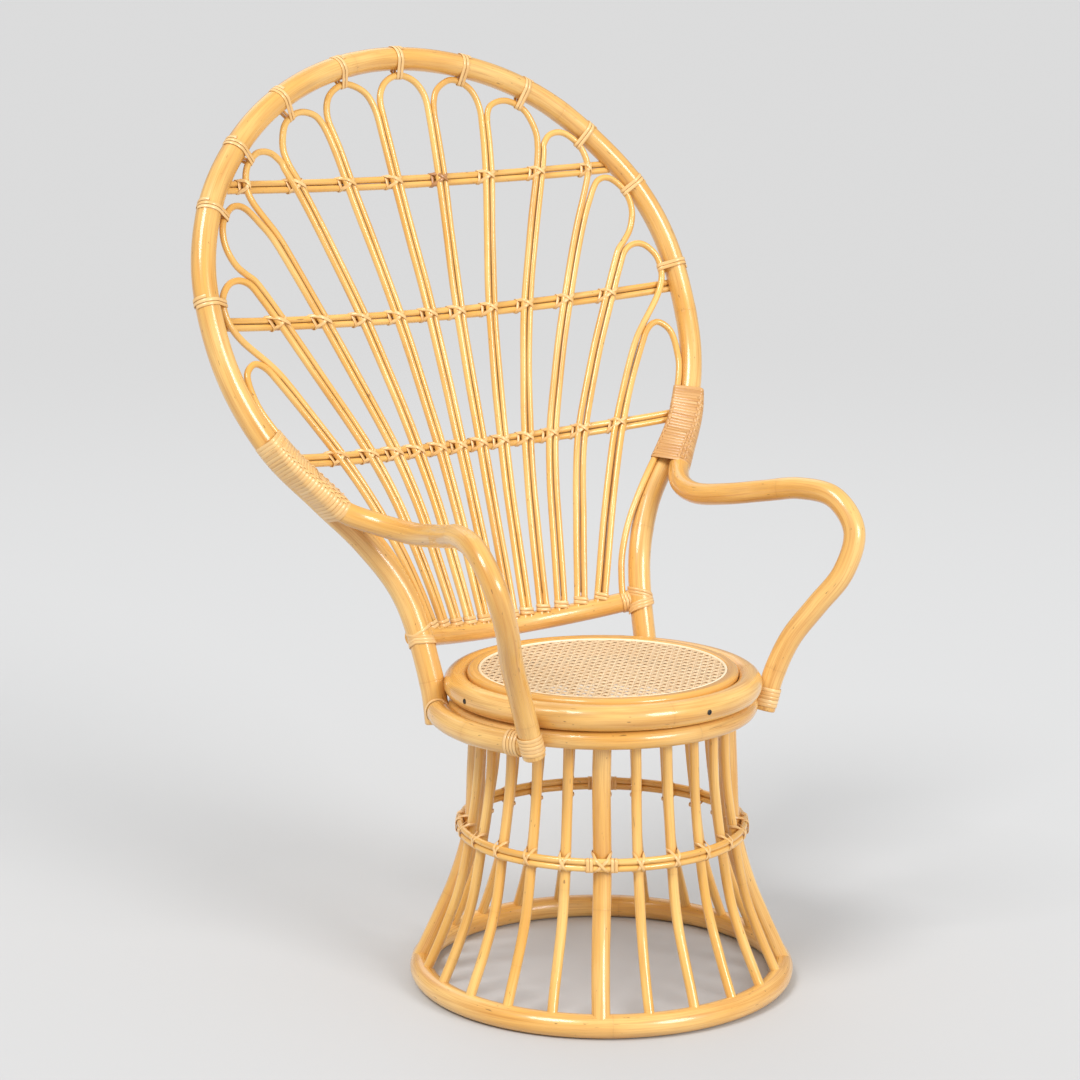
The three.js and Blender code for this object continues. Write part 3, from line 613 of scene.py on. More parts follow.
backUp = Vector((0.0, scaled(chair["lean"]), rise)).normalized()
barLines = []
for index in range(3):
    reach = hoopAcross(barHeight(index, hoopAcross(barHeight(index, 0.0)))) - hoop["cane"] / 2
    line = []
    for step in range(15):
        across = reach * (step / 7 - 1)
        line.append(onBack(across, barHeight(index, across), bars["behind"]))
    barLines.append(line)
    parts = []
    for lift in (-bars["cane"] - bars["gap"], bars["cane"] + bars["gap"]):
        path = evenPath([p + backUp * lift for p in line], 0.006)
        sweepCane(parts, path, bars["cane"], sides=14, wander=0.0002, joints=0.29)
    finishPiece(f"bar_canes_{index + 1}", parts, "thin_cane", "cane", f"crossbar_{index + 1}")
print("crossbars and rail made")


# The loops: their feet stand in pairs, on both sides of a seam from the rail to their fork

loops = {"cane": 0.0047, "gap": 0.0001, "outerFoot": 0.149, "fallEnd": 0.888, "knee": 0.4,
         "rightFeet": (.0815, .2412, .4153, .5942, .778, .957),
         "feet": (.0867, .2566, .4418, .6321, .825, 1.0),
         "pairs": ((.0146, .0198, .0317), (.0439, .0649, .097), (.0768, .1141, .1676), (.1095, .1696),
                   (.1475, .2286), (.1946,)),
         "forks": ((.0353, .8904), (.1058, .8702), (.1762, .8272), (.2132, .7034), (.2562, .6404),
                   (.2522, .489)),
         "arches": (((.0302, .9178), (.0199, .9416), (0, .9524)),
                    ((.0477, .925), (.0716, .9428), (.0947, .9262), (.1026, .8964)),
                    ((.1177, .8964), (.1408, .9048), (.1639, .8868), (.1734, .8512)),
                    ((.1909, .844), (.21, .847), (.2291, .825), (.2351, .7892), (.2259, .7522)),
                    ((.2291, .7332), (.2434, .7618), (.2609, .766), (.2784, .7428), (.2824, .7082),
                     (.2721, .6724)),
                    ((.2721, .6504), (.288, .6498), (.3023, .6284), (.3031, .595), (.2912, .5628),
                     (.2713, .5296)),
                    ((.2673, .508), (.2816, .5176), (.2951, .501), (.2951, .4652))),
         "falls": (.4164, .34, .258, .19, .13)}
lastLoop = len(loops["arches"]) - 1

# The left arches slip along the hoop, most where they lie against it; all but the slip are shares
settling = {"slip": 0.0108, "across": 0.12, "rise": (.45, .58), "reach": (.03, .1), "centre": 0.6}


def flatPoint(row):
    return Vector((scaled(row[0]), risen(row[1])))


def flatMirrored(points):
    return [Vector((-p.x, p.y)) for p in points]


# The back isn't quite even: the right feet stand closer in, and the left arches sit lower
def pairSeam(pair, half):
    foot = loops["outerFoot"] * loops["rightFeet" if half > 0 else "feet"][pair]
    places = [Vector((foot, railHeight(foot)))]
    for index, share in enumerate(loops["pairs"][pair]):
        places.append(Vector((scaled(share), barHeight(index, scaled(share)))))
    knee = Vector((foot + (places[1].x - foot) * loops["knee"], (places[0].y + places[1].y) / 2))
    return [places[0], knee, *places[1:], flatPoint(loops["forks"][pair])]


def softStep(value, low, high):
    share = min(max((value - low) / (high - low), 0.0), 1.0)
    return share * share * (3 - 2 * share)


def settled(half, point):
    across = half * point.x
    reach = min((Vector((p.x, p.z)) - Vector((across, point.y))).length for p in hoopDense)
    low, high = (risen(share) for share in settling["rise"])
    amount = softStep(-across, 0.0, scaled(settling["across"])) * softStep(point.y, low, high)
    amount *= 1 - softStep(reach, *(scaled(share) for share in settling["reach"]))
    arm = Vector((across, point.y - risen(settling["centre"])))
    shift = Vector((-arm.y, arm.x)).normalized() * (settling["slip"] * amount)
    return onBack(across + shift.x, point.y + shift.y)


def legLine(pair, side, half):
    seam = pairSeam(pair, half)
    steps = 2 * (len(seam) - 1)
    line = []
    for step in range(steps + 1):
        share = step / steps
        direction = (flatSplineAt(seam, share + 0.0005) - flatSplineAt(seam, share - 0.0005)).normalized()
        offset = Vector((direction.y, -direction.x)) * (side * (loops["cane"] + loops["gap"]))
        line.append(flatSplineAt(seam, share) + offset)
    return line


# The outermost loop lies against the hoop all the way down
def besideHoop(height):
    share = hoopShareAt(risen(height))
    centre, along = hoopPlace(share)
    inward = Vector((-abs(along.z), abs(along.x))).normalized()
    return Vector((centre.x, centre.z)) + inward * (hoopRadius(share) + loops["cane"] + loops["gap"])


# A loop's outline: up its inner leg, over the arch and down its outer leg, or down beside the hoop
def loopLine(index, half):
    bend = [flatPoint(row) for row in loops["arches"][index]]
    if index == lastLoop:
        bend += [besideHoop(height) for height in loops["falls"]]
        end = railReach * loops["fallEnd"]
        bend.append(Vector((end, railHeight(end))))
    inner = flatMirrored(legLine(0, -1, -half)) if index == 0 else legLine(index - 1, 1, half)
    outer = legLine(index, -1, half)[::-1] if index < lastLoop else []
    arch = flatMirrored(bend) + bend[-2::-1] if index == 0 else bend
    guide = inner[-2:] + arch + outer[:2]
    steps = 2 * (len(guide) - 1)
    last = steps - 3 if outer else steps
    return inner + [flatSplineAt(guide, step / steps) for step in range(3, last + 1)] + outer


hoopDense = [splineAt(hoopPoints, i / 400) for i in range(401)]
loopPaths = {}
for index in range(-lastLoop, lastLoop + 1):
    side = -1 if index < 0 else 1
    loopPaths[index] = evenPath([settled(side, p) for p in loopLine(abs(index), side)], 0.0045)
    number = index + lastLoop + 1
    finishCane(f"loop_cane_{number}", f"loop_{number}", loopPaths[index],
               loops["cane"] * random.uniform(0.98, 1.03), "thin_cane", sides=14, wander=0.0002, joints=0.29)
print("loops made")


# The way into the back from a place on it
def intoBack(place, across, height):
    return (onBack(across, height, 0.01) - place).normalized()


# Painted shade: dark strips laid in the grooves between paired canes, where shade falls
groove = {"width": 0.0011, "barWidth": 0.0007, "thickness": 0.0008, "deep": 0.0024, "steps": 60,
          "begin": 0.07, "run": 0.915}
parts = []
for pair in range(len(loops["pairs"])):
    for side in (-1, 1):
        seam = pairSeam(pair, side)
        for face in (-1, 1):
            line, outwards = [], []
            for step in range(groove["steps"] + 1):
                flat = flatSplineAt(seam, groove["begin"] + groove["run"] * step / groove["steps"])
                at = settled(side, flat)
                depth = intoBack(at, side * flat.x, flat.y)
                line.append(at + depth * (face * groove["deep"]))
                outwards.append(depth * face)
            sweepStrip(parts, line, outwards, groove["width"], groove["thickness"], 4)
barDepth = backUp.cross(Vector((1.0, 0.0, 0.0))).normalized()
for line in barLines:
    for face in (-1, 1):
        outward = barDepth * face
        path = [p + outward * groove["deep"] for p in evenPath(line, 0.008)]
        sweepStrip(parts, path, [outward] * len(path), groove["barWidth"], groove["thickness"], 4)
finishPiece("painted_groove_shades", parts, "painted_groove_shade", "deep_cane")


# Arms, whose thin tips lie along the front of the hoop; rows are shares of the way from foot to head

arm = {"cane": 0.0152, "tip": 0.005, "gap": 0.0006, "top": 0.3962, "bottom": 0.2784, "tipSteps": 4,
       "footRadius": 0.2259, "footTurn": -28.17, "footHeight": 0.3665,
       "rows": ((.6632, .8601, .9449), (.4947, .674, .9289), (.5536, .4803, .9542), (.7769, .301, .9886),
                (.9815, .1188, 1.019), (1.1353, -.0707, .9924), (1.1423, -.2, .8501), (.9412, -.1958, .6613),
                (.6646, -.1159, .5014), (.3805, -.0412, .3418), (.1602, -.0041, .1644))}
spliceTop = hoopShareAt(risen(arm["top"]))
spliceBottom = hoopShareAt(risen(arm["bottom"]))


def spliceAt(share):
    where = spliceTop + (spliceBottom - spliceTop) * share
    centre, along = hoopPlace(where)
    forward = Vector((0.0, -1.0, 0.0))
    forward = (forward - along * forward.dot(along)).normalized()
    radius = arm["tip"] + (arm["cane"] - arm["tip"]) * share
    return centre, along, forward, radius, hoopRadius(where) + radius + arm["gap"]


armLine = []
for step in range(arm["tipSteps"] + 1):
    centre, along, forward, radius, distance = spliceAt(step / arm["tipSteps"])
    armLine.append(centre + forward * distance)
armFoot = polar(arm["footRadius"], math.radians(arm["footTurn"]), arm["footHeight"])
run = armLine[-1] - armFoot
armLine += [armFoot + Vector((run.x * x, run.y * y, run.z * z)) for x, y, z in arm["rows"]]
armLine.append(armFoot)
path = evenPath(armLine, 0.006)
tipLength = (armLine[arm["tipSteps"]] - armLine[0]).length
radii, length = [], 0.0
for index, point in enumerate(path):
    length += (point - path[index - 1]).length if index else 0.0
    radii.append(arm["tip"] + (arm["cane"] - arm["tip"]) * min(length / tipLength, 1.0))
for name, side in (("right", 1), ("left", -1)):
    finishCane(f"arm_cane_{name}", f"arm_{name}", sided(side, path), radii,
               sides=28, wander=0.0006, edge=0.0025, joints=0.37)
print("arms made")


# Rings: each is one cane bent round, whose ends meet in a slanted seam

ringSeam = {"gap": 0.0003, "reach": 0.05, "slant": 0.016}


def ringFrames(ring, height, slant):
    radius, cane = ring["radius"], ring["cane"]
    count = round(2 * math.pi * radius / 0.009)
    run = 2 * math.pi * radius / count
    frames = []
    for index in range(count + 1):
        edge = ringSeam["gap"] * (1 if index == 0 else -1 if index == count else 0)
        angle = ring["seam"] + 2 * math.pi * index / count + edge / radius
        weight = max(0.0, 1 - min(index, count - index) * run / ringSeam["reach"])
        leaned = outwardAt(angle) * cane + roundAt(angle) * (slant * weight)
        frames.append(turned(up * cane, leaned, roundAt(angle), polar(radius, angle, height)))
    return frames


seatRing = {"radius": 0.1993, "cane": 0.0175, "seam": -0.55}
apronRing = {"radius": 0.1987, "cane": 0.0123, "seam": 2.0, "height": 0.3873}
floorRing = {"radius": 0.249, "cane": 0.0158, "seam": 2.3}
topRing = {"radius": 0.1695, "cane": 0.0166, "seam": 1.1}
for name, ring, height, paint, slot, node in (
        ("floor_ring_cane", floorRing, floorRing["cane"], "lacquered_cane", "cane", "floor_ring"),
        ("top_ring_cane", topRing, apronRing["height"], "deep_cane", "deep_cane", "base_top_ring"),
        ("apron_cane", apronRing, apronRing["height"], "lacquered_cane", "cane", "apron_ring"),
        ("seat_ring_cane", seatRing, chair["seat"], "lacquered_cane", "cane", "seat_ring")):
    parts = []
    sweep(parts, ringFrames(ring, height, ringSeam["slant"]), 32, grainStart(), 0.37)
    finishPiece(name, parts, paint, slot, node)
print("rings made")


# Uprights of the base, and the two canes round its waist

uprights = {"turn": math.radians(-129), "top": 0.1695, "spread": 0.0795, "count": 24, "perLeg": 6,
            "footOut": 0.003, "footHeight": 0.014,
            "leg": {"cane": 0.0125, "topIn": 0.001, "sides": 22,
                    "rows": ((.7689, .0309), (.5612, .1005), (.3554, .3566), (.2106, .6396))},
            "spindle": {"cane": 0.0068, "topIn": 0.0, "sides": 14,
                        "rows": ((.7689, .0499), (.5612, .1906), (.3554, .3946), (.2106, .6523))}}


def uprightAngle(index):
    return uprights["turn"] + index * 2 * math.pi / uprights["count"]


def uprightKind(index):
    return "spindle" if index % uprights["perLeg"] else "leg"


for index in range(uprights["count"]):
    kind = uprightKind(index)
    size = uprights[kind]
    outline = [(uprights["top"] - size["topIn"], apronRing["height"])]
    for height, out in size["rows"]:
        outline.append((uprights["top"] + out * uprights["spread"], height * apronRing["height"]))
    outline.append((uprights["top"] + uprights["spread"] + uprights["footOut"], uprights["footHeight"]))
    path = evenPath([polar(radius, uprightAngle(index), height) for radius, height in outline], 0.007)
    legsBefore = index // uprights["perLeg"]
    number, look = ((legsBefore + 1, ("lacquered_cane", "cane")) if kind == "leg"
                    else (index - legsBefore, ("thin_cane", "deep_cane")))
    radius = size["cane"] * random.uniform(0.97, 1.05)
    finishCane(f"{kind}_cane_{number}", f"{kind}_{number}", path, radius, *look,
               sides=size["sides"], wander=0.0006, joints=0.33)

waist = {"radius": 0.1953, "cane": 0.0045, "height": 0.2174, "seams": (0.4, 2.9), "slant": 0.004}
parts = []
for way, seam in zip((-1, 1), waist["seams"]):
    frames = ringFrames({**waist, "seam": seam}, waist["height"] + way * waist["cane"], waist["slant"])
    sweep(parts, frames, 14, grainStart(), 0.29)
finishPiece("waist_canes", parts, "thin_cane", "cane", "waist_hoop")
print("base made")


# Side rails from the back posts round to the arms' feet

sideRail = {"radius": 0.2259, "cane": 0.0158, "height": 0.3825, "postGap": 0.06, "footGap": 0.055,
            "footTop": 0.42, "footSteps": 40}
post, _ = hoopPlace(hoopShareAt(sideRail["height"]))
footPath = [p for p in evenPath(armLine, 0.002) if p.z < sideRail["footTop"]][-sideRail["footSteps"]:]


def atHeight(points, height):
    return min(points, key=lambda p: abs(p.z - height))


footNear = atHeight(footPath, sideRail["height"])
start = math.atan2(post.y - seatLine.y, post.x) - sideRail["postGap"]
end = math.atan2(footNear.y - seatLine.y, footNear.x) + sideRail["footGap"]
sideLine = [polar(sideRail["radius"], start + (end - start) * i / 8, sideRail["height"]) for i in range(9)]
for name, side in (("right", 1), ("left", -1)):
    path = evenPath(sided(side, sideLine), 0.008)
    finishCane(f"side_cane_{name}", f"side_rail_{name}", path, sideRail["cane"],
               sides=28, wander=0.0004, edge=0.003, joints=0.37)
print("side rails made")


# The seat: a shaped frame, woven cane and the cord that holds it

caneFrame = {"around": 96, "bevel": 0.0024, "grain": (0.16, 0.05),
             "outline": ((.158, .415), (.1782, .415), (.1812, .4174), (.1844, .4285), (.1844, .434),
                         (.1809, .438), (.1698, .438), (.1698, .4304), (.1662, .4304), (.1662, .434),
                         (.158, .434))}
bm = bmesh.new()
coord = bm.verts.layers.float_vector.new("caneCoord")
corners = [bm.verts.new((radius, 0.0, height)) for radius, height in caneFrame["outline"]]
edges = [bm.edges.new((a, b)) for a, b in zip(corners, corners[1:] + corners[:1])]
bmesh.ops.spin(bm, geom=corners + edges, cent=(0, 0, 0), axis=(0, 0, 1), angle=2 * math.pi,
               steps=caneFrame["around"], use_merge=True)
bmesh.ops.remove_doubles(bm, verts=bm.verts[:], dist=0.00001)
for vert in bm.verts:
    radius = math.hypot(vert.co.x, vert.co.y)
    turn = math.atan2(vert.co.y, vert.co.x)
    run = math.sin(turn) * caneFrame["grain"][0] + math.cos(turn) * caneFrame["grain"][1]
    vert[coord] = Vector((radius, vert.co.z, run))
    vert.co += seatLine
bmesh.ops.recalc_face_normals(bm, faces=bm.faces[:])
for face in bm.faces:
    face.smooth = True
parts = []
keepPart(parts, bm)
piece = finishPiece("seat_frame_wood", parts, "deep_cane", "deep_cane", "cane_frame")
bevel = piece.modifiers.new("soft edges", "BEVEL")
bevel.width, bevel.segments, bevel.angle_limit = caneFrame["bevel"], 3, 0.5

cord = {"radius": 0.1675, "cane": 0.0021, "height": 0.4356, "seam": 1.9, "slant": 0.002, "grain": 3.0}
parts = []
sweep(parts, ringFrames(cord, cord["height"], cord["slant"]), 10, cord["grain"])
finishPiece("seat_cord_ring", parts, "seat_cord", "strip", "cane_cord")

# Six-way weave: pairs of strands each way, and single strands slanting over their crossings
weave = {"pitch": 0.0127, "radius": 0.1672, "top": 0.436, "wide": 0.0029, "thick": 0.0011, "pair": 0.0018,
         "least": 0.01, "step": 0.0032, "across": (-0.0007, 0.0004), "forward": (-0.0011, 0.0003),
         "slanted": (-0.0003, 0.0004)}


# Each way of the weave says how high its strands lie and how far they wave over and under
def weaveStrand(parts, offset, angle, phase, way, period):
    half = math.sqrt(max(weave["radius"] ** 2 - offset**2, 0.0))
    if half < weave["least"]:
        return
    lift, wave = weave[way]
    count = max(4, round(2 * half / weave["step"]))
    path = []
    for step in range(count + 1):
        run = half * (2 * step / count - 1)
        height = weave["top"] + lift + wave * math.cos(2 * math.pi * (run / period + phase))
        path.append(seatLine + outwardAt(angle) * run + roundAt(angle) * offset + up * height)
    sweepStrip(parts, path, [up] * len(path), weave["wide"], weave["thick"], 4)


rows = int(weave["radius"] / weave["pitch"]) + 1
parts = []
for row in range(-rows, rows + 1):
    for side in (-1, 1):
        offset = row * weave["pitch"] + side * weave["pair"]
        weaveStrand(parts, offset, 0.0, 0.25 * side, "across", weave["pitch"])
        weaveStrand(parts, offset, math.pi / 2, -0.25 * side, "forward", weave["pitch"])
finishPiece("seat_weave_square", parts, "seat_webbing", "panel", "cane_panel")
parts = []
slant = weave["pitch"] / math.sqrt(2)
for row in range(-2 * rows, 2 * rows + 1):
    for turn in (0.25, 0.75):
        phase = 0.25 + 0.5 * (row % 2)
        weaveStrand(parts, (row + 0.5) * slant, turn * math.pi, phase, "slanted", 2 * slant)
finishPiece("seat_weave_slant", parts, "seat_webbing", "panel")
print("seat made")


# Screws through the seat ring: a domed head with a crossed slot

screws = {"radius": 0.0036, "height": 0.0014, "dome": 0.8, "slot": 0.0009, "slotWidth": 0.1,
          "slotLength": 0.8, "skirt": 0.002, "sink": 0.0003, "twist": 0.5, "turns": (173.6, -88.9, 42.4, 4.0)}
parts = []
for angle in map(math.radians, screws["turns"]):
    bm = bmesh.new()
    bmesh.ops.create_grid(bm, x_segments=7, y_segments=7, size=1.0)
    slotFaces = []
    for face in bm.faces:
        narrow, long = sorted(abs(away) for away in face.calc_center_median().xy)
        slotFaces += [face] if narrow < screws["slotWidth"] and long < screws["slotLength"] else []
    for vert in bm.verts:
        x, y = vert.co.x, vert.co.y
        flat = Vector((x * math.sqrt(1 - y * y / 2), y * math.sqrt(1 - x * x / 2)))
        dome = math.sqrt(max(1 - screws["dome"] * flat.length_squared, 0.0))
        vert.co = Vector((flat.x * screws["radius"], flat.y * screws["radius"], dome * screws["height"]))
    pressed = bmesh.ops.extrude_face_region(bm, geom=slotFaces)["geom"]
    bmesh.ops.delete(bm, geom=slotFaces, context="FACES")
    bmesh.ops.translate(bm, verts=[item for item in pressed if isinstance(item, bmesh.types.BMVert)],
                        vec=(0.0, 0.0, -screws["slot"]))
    rim = [edge for edge in bm.edges if edge.is_boundary]
    skirt = bmesh.ops.extrude_edge_only(bm, edges=rim)["geom"]
    for item in skirt:
        if isinstance(item, bmesh.types.BMVert):
            item.co.z = -screws["skirt"]
    bmesh.ops.contextual_create(bm, geom=[edge for edge in bm.edges if edge.is_boundary])
    bmesh.ops.recalc_face_normals(bm, faces=bm.faces[:])
    origin = polar(seatRing["radius"] + seatRing["cane"] - screws["sink"], angle, chair["seat"])
    shape = turned(roundAt(angle), up, outwardAt(angle), origin) @ Matrix.Rotation(screws["twist"], 4, "Z")
    bmesh.ops.transform(bm, matrix=shape, verts=bm.verts[:])
    keepPart(parts, bm)
finishPiece("seat_screws", parts, "dark_steel", "deep_cane")
print("screws made")


# Lashings of split cane: a band follows the outline round one or more canes

def outermost(circles, away):
    return max(circles, key=lambda c: c[0] * away.x + c[1] * away.y + c[2])


def bandAround(parts, origin, axes, circles, band):
    u, v, w = axes
    path, outwards = [], []
    steps = band["steps"]
    total = round(band["turns"] * steps)
    for step in range(total + 1):
        angle = band["start"] + 2 * math.pi * step / steps
        away = Vector((math.cos(angle), math.sin(angle)))
        x, y, radius = outermost(circles, away)
        flat = Vector((x, y)) + away * (radius + band["thickness"] / 2)
        path.append(origin + u * flat.x + v * flat.y + w * (band["pitch"] * (step - total / 2) / steps))
        outwards.append(u * away.x + v * away.y)
    sweepStrip(parts, path, outwards, band["width"], band["thickness"])


def crossFlipped(rows, p, q):
    return [((x * p, y * q, z), (nx * p, ny * q, nz)) for (x, y, z), (nx, ny, nz) in rows]


# A crossed lashing over two bundles: u runs along the one behind, v along the one in front, depth inwards;
# each row is a place on the strip's way round and the way that the strip faces there
def crossLashing(parts, origin, axes, size, strip):
    u, v, depth = axes
    a, f, b, c, d = size["frontHalf"], size["front"], size["backHalf"], size["back"], size["apart"]
    w = a + strip["width"] * 0.7
    t = strip["thickness"] / 2
    half = [((w, 0, d + c + t), (0, 0, 1)), ((w, 0.8 * b, d + 0.75 * c), (0, 0.7, 0.7)),
            ((w, b + t, d), (0, 1, 0)), ((0.97 * w, 0.86 * b, 0.45 * d), (0.6, 0.5, -0.6)),
            ((a * 0.99, 0.66 * b, -0.15 * f), (0.85, 0.15, -0.5)),
            ((a * 0.6, 0.4 * b, -f - t), (0.25, 0.0, -0.97)), ((0, 0, -f - t), (0, 0, -1))]
    first = half + crossFlipped(half[:-1][::-1], -1, -1)
    second = crossFlipped(half[1:-1], -1, 1) + [((0, 0, -f - 2.6 * t), (0, 0, -1))]
    second += crossFlipped(half[:-1][::-1], 1, -1)
    points = [origin + u * x + v * y + depth * z for (x, y, z), _ in first + second]
    outs = [u * x + v * y + depth * z for _, (x, y, z) in first + second]
    count = 3 * (len(points) - 1)
    path = [splineAt(points, i / count) for i in range(count + 1)]
    outwards = [splineAt(outs, i / count) for i in range(count + 1)]
    sweepStrip(parts, path, outwards, strip["width"], strip["thickness"])


# Every pair of loop canes is lashed to each bar that it crosses, with a band beside it and a dark blob of
# painted shade in the hollow
lashing = {"width": 0.0052, "thickness": 0.0013, "beside": 0.0028, "turns": 1.1, "pitch": 0.001,
           "start": 1.6, "steps": 26}
hollow = {"beside": 0.0042, "deep": 0.0024, "sizes": (0.0022, 0.0013, 0.0016), "grain": 0.002}
hollows = []


# Crossed strips over the pair, and one beside it that goes round both canes of the bar
def lashAt(into, index, across, height, pairAlong, half):
    origin = onBack(across, height)
    barAlong = (onBack(across + 0.002, barHeight(index, across + 0.002))
                - onBack(across - 0.002, barHeight(index, across - 0.002))).normalized()
    depth = intoBack(origin, across, height)
    slant = barAlong.cross(pairAlong).length
    size = {"frontHalf": half / slant, "front": loops["cane"], "apart": bars["behind"],
            "backHalf": 2 * (bars["cane"] + bars["gap"]) / slant, "back": bars["cane"]}
    crossLashing(into, origin, (barAlong, pairAlong, depth), size, lashing)
    middle = origin + depth * bars["behind"] - barAlong * (half / slant + lashing["beside"])
    upward = (pairAlong - depth * pairAlong.dot(depth)).normalized()
    reach = bars["cane"] / slant
    circles = ((-reach, 0, bars["cane"]), (reach, 0, bars["cane"]))
    bandAround(into, middle, (upward, depth, depth.cross(upward)), circles, lashing)
    hollows.append((middle - barAlong * hollow["beside"] - depth * hollow["deep"], (barAlong, upward, depth)))


def alongSeam(side, low, high):
    return (onBack(side * high.x, high.y) - onBack(side * low.x, low.y)).normalized()


# How far a place on the third loop is from the top bar; its inner leg doesn't count
def offTopBar(place):
    return abs(place.z - barHeight(2, place.x)) + (abs(place.x) < scaled(0.2))


for index in range(3):
    parts, darkParts = [], []
    for pair, shares in enumerate(loops["pairs"]):
        for side in (-1, 1) if index < len(shares) else ():
            seam = pairSeam(pair, side)
            at = (index + 2) / (len(seam) - 1)
            flat, low, high = (flatSplineAt(seam, at + step) for step in (0.0, -0.02, 0.02))
            isDark = index == 2 and pair == 0 and side == 1
            into = darkParts if isDark else parts
            pairAlong = alongSeam(side, low, high)
            lashAt(into, index, side * flat.x, flat.y, pairAlong, 2 * loops["cane"] + loops["gap"])
    for side in (-1, 1) if index == 2 else ():
        path = loopPaths[3 * side]
        misses = [offTopBar(place) for place in path[:-1]]
        near = misses.index(min(misses))
        lashAt(parts, index, path[near].x, path[near].z, -wayAlong(path, near), loops["cane"])
    finishPiece(f"bar_lashings_{index + 1}", parts, "split_cane", "strip")
    if darkParts:
        finishPiece("dark_lashing", darkParts, "dark_split_cane", "strip")

# Painted shade: small dark blobs set in the hollows beside the lashings
parts = []
for middle, axes in hollows:
    bm = bmesh.new()
    coord = bm.verts.layers.float_vector.new("caneCoord")
    bmesh.ops.create_icosphere(bm, subdivisions=1, radius=1.0)
    for vert in bm.verts:
        vert[coord] = vert.co * hollow["grain"]
    shape = turned(*(axis * half for axis, half in zip(axes, hollow["sizes"])), middle)
    bmesh.ops.transform(bm, matrix=shape, verts=bm.verts[:])
    for face in bm.faces:
        face.smooth = True
    keepPart(parts, bm)
finishPiece("painted_hollow_shades", parts, "painted_groove_shade", "deep_cane")

waistLashing = {"width": 0.0042, "thickness": 0.001, "slack": 0.0003}
legBands = {"count": 2, "apart": 0.0046, "beside": 0.0016, "turns": 1.1, "pitch": 0.0008, "width": 0.0044,
            "thickness": 0.0011, "start": 2.0, "steps": 26}
parts = []
for index in range(uprights["count"]):
    kind = uprightKind(index)
    size = uprights[kind]
    angle = uprightAngle(index)
    outward, along = outwardAt(angle), roundAt(angle)
    radius = uprights["top"] + size["rows"][1][1] * uprights["spread"]
    origin = polar(waist["radius"], angle, waist["height"])
    thin = {"frontHalf": 2 * waist["cane"], "front": waist["cane"],
            "backHalf": size["cane"] + waistLashing["slack"], "back": size["cane"],
            "apart": waist["radius"] - radius}
    crossLashing(parts, origin, (up, along, -outward), thin, waistLashing)
    circles = ((-waist["cane"], 0, waist["cane"]), (waist["cane"], 0, waist["cane"]))
    for turn in range(2 * legBands["count"] if kind == "leg" else 0):
        side = 1 if turn % 2 else -1
        away = size["cane"] + legBands["beside"] + legBands["apart"] * (turn // 2)
        bandAround(parts, origin + along * (side * away), (up, outward, along), circles, legBands)
finishPiece("waist_lashings", parts, "split_cane", "strip")
print("crossed lashings made")


# Bands that hold the loops' tops to the hoop, and the collars at the loops' feet

def nearest(points, place):
    return min(points, key=lambda p: (p - place).length)


hoopBands = {"width": 0.0052, "thickness": 0.0013, "pitch": 0.0056, "turns": 2.15, "start": math.pi,
             "steps": 40, "slack": 0.0002,
             "tops": ((0.0, .9524), (.083, .9403), (.160, .8928), (.2291, .825), (.2784, .7428),
                      (.303, .6108))}
parts = []
for index, (across, height) in enumerate(hoopBands["tops"]):
    for side in ((1,) if index == 0 else (-1, 1)):
        top = nearest(loopPaths[side * index], onBack(side * scaled(across), risen(height)))
        share = hoopDense.index(nearest(hoopDense, top)) / (len(hoopDense) - 1)
        centre, along = hoopPlace(share)
        towards = top - centre
        towards -= along * towards.dot(along)
        u = towards.normalized()
        circles = ((0.0, 0.0, hoopRadius(share) + hoopBands["slack"]),
                   (towards.length, 0.0, loops["cane"] + hoopBands["slack"]))
        bandAround(parts, centre, (u, along.cross(u), along), circles, hoopBands)
finishPiece("hoop_bands", parts, "split_cane", "strip")

collar = {"lift": 0.0148, "turns": 2.0, "pitch": 0.0054, "width": 0.0052, "thickness": 0.0011,
          "start": math.pi / 2, "steps": 26, "circles": ((-0.0048, 0, 0.005), (0.0048, 0, 0.005))}
parts = []
for pair in range(len(loops["pairs"])):
    for side in (-1, 1):
        seam = pairSeam(pair, side)
        low, high = flatSplineAt(seam, 0.0), flatSplineAt(seam, 0.02)
        foot = onBack(side * low.x, low.y)
        pairAlong = alongSeam(side, low, high)
        depth = intoBack(foot, side * low.x, low.y)
        bandAround(parts, foot + pairAlong * collar["lift"], (pairAlong.cross(depth), depth, pairAlong),
                   collar["circles"], collar)
finishPiece("rail_collars", parts, "split_cane", "strip")
print("bands and collars made")


# The long bindings over the splices, which take in the outermost loop's cane, with strips woven in lengthwise

splice = {"turns": 26, "steps": 28, "thickness": 0.0013, "overlap": 1.16, "slack": 0.0002, "end": 0.96,
          "weftWidth": 0.004, "weftThickness": 0.0011, "weftLift": 0.85, "weftWave": 0.75,
          "weft": ((28, .1), (46, .12), (64, .3), (82, .5))}


def spliceSkin(share, angle, lift):
    centre, along, forward, radius, distance = spliceAt(share)
    sideways = forward.cross(along)
    beside = nearest(loopPaths[lastLoop], centre) - centre
    away = Vector((math.cos(angle), math.sin(angle)))
    circles = ((0.0, 0.0, hoopRadius(spliceTop)), (distance, 0.0, radius),
               (beside.dot(forward), beside.dot(sideways), loops["cane"] + splice["slack"]))
    x, y, r = outermost(circles, away)
    flat = Vector((x, y)) + away * (r + lift)
    return centre + forward * flat.x + sideways * flat.y, forward * away.x + sideways * away.y


def spliceStrip(parts, side, rows, width, thickness):
    sweepStrip(parts, sided(side, [p for p, _ in rows]), sided(side, [n for _, n in rows]), width, thickness)


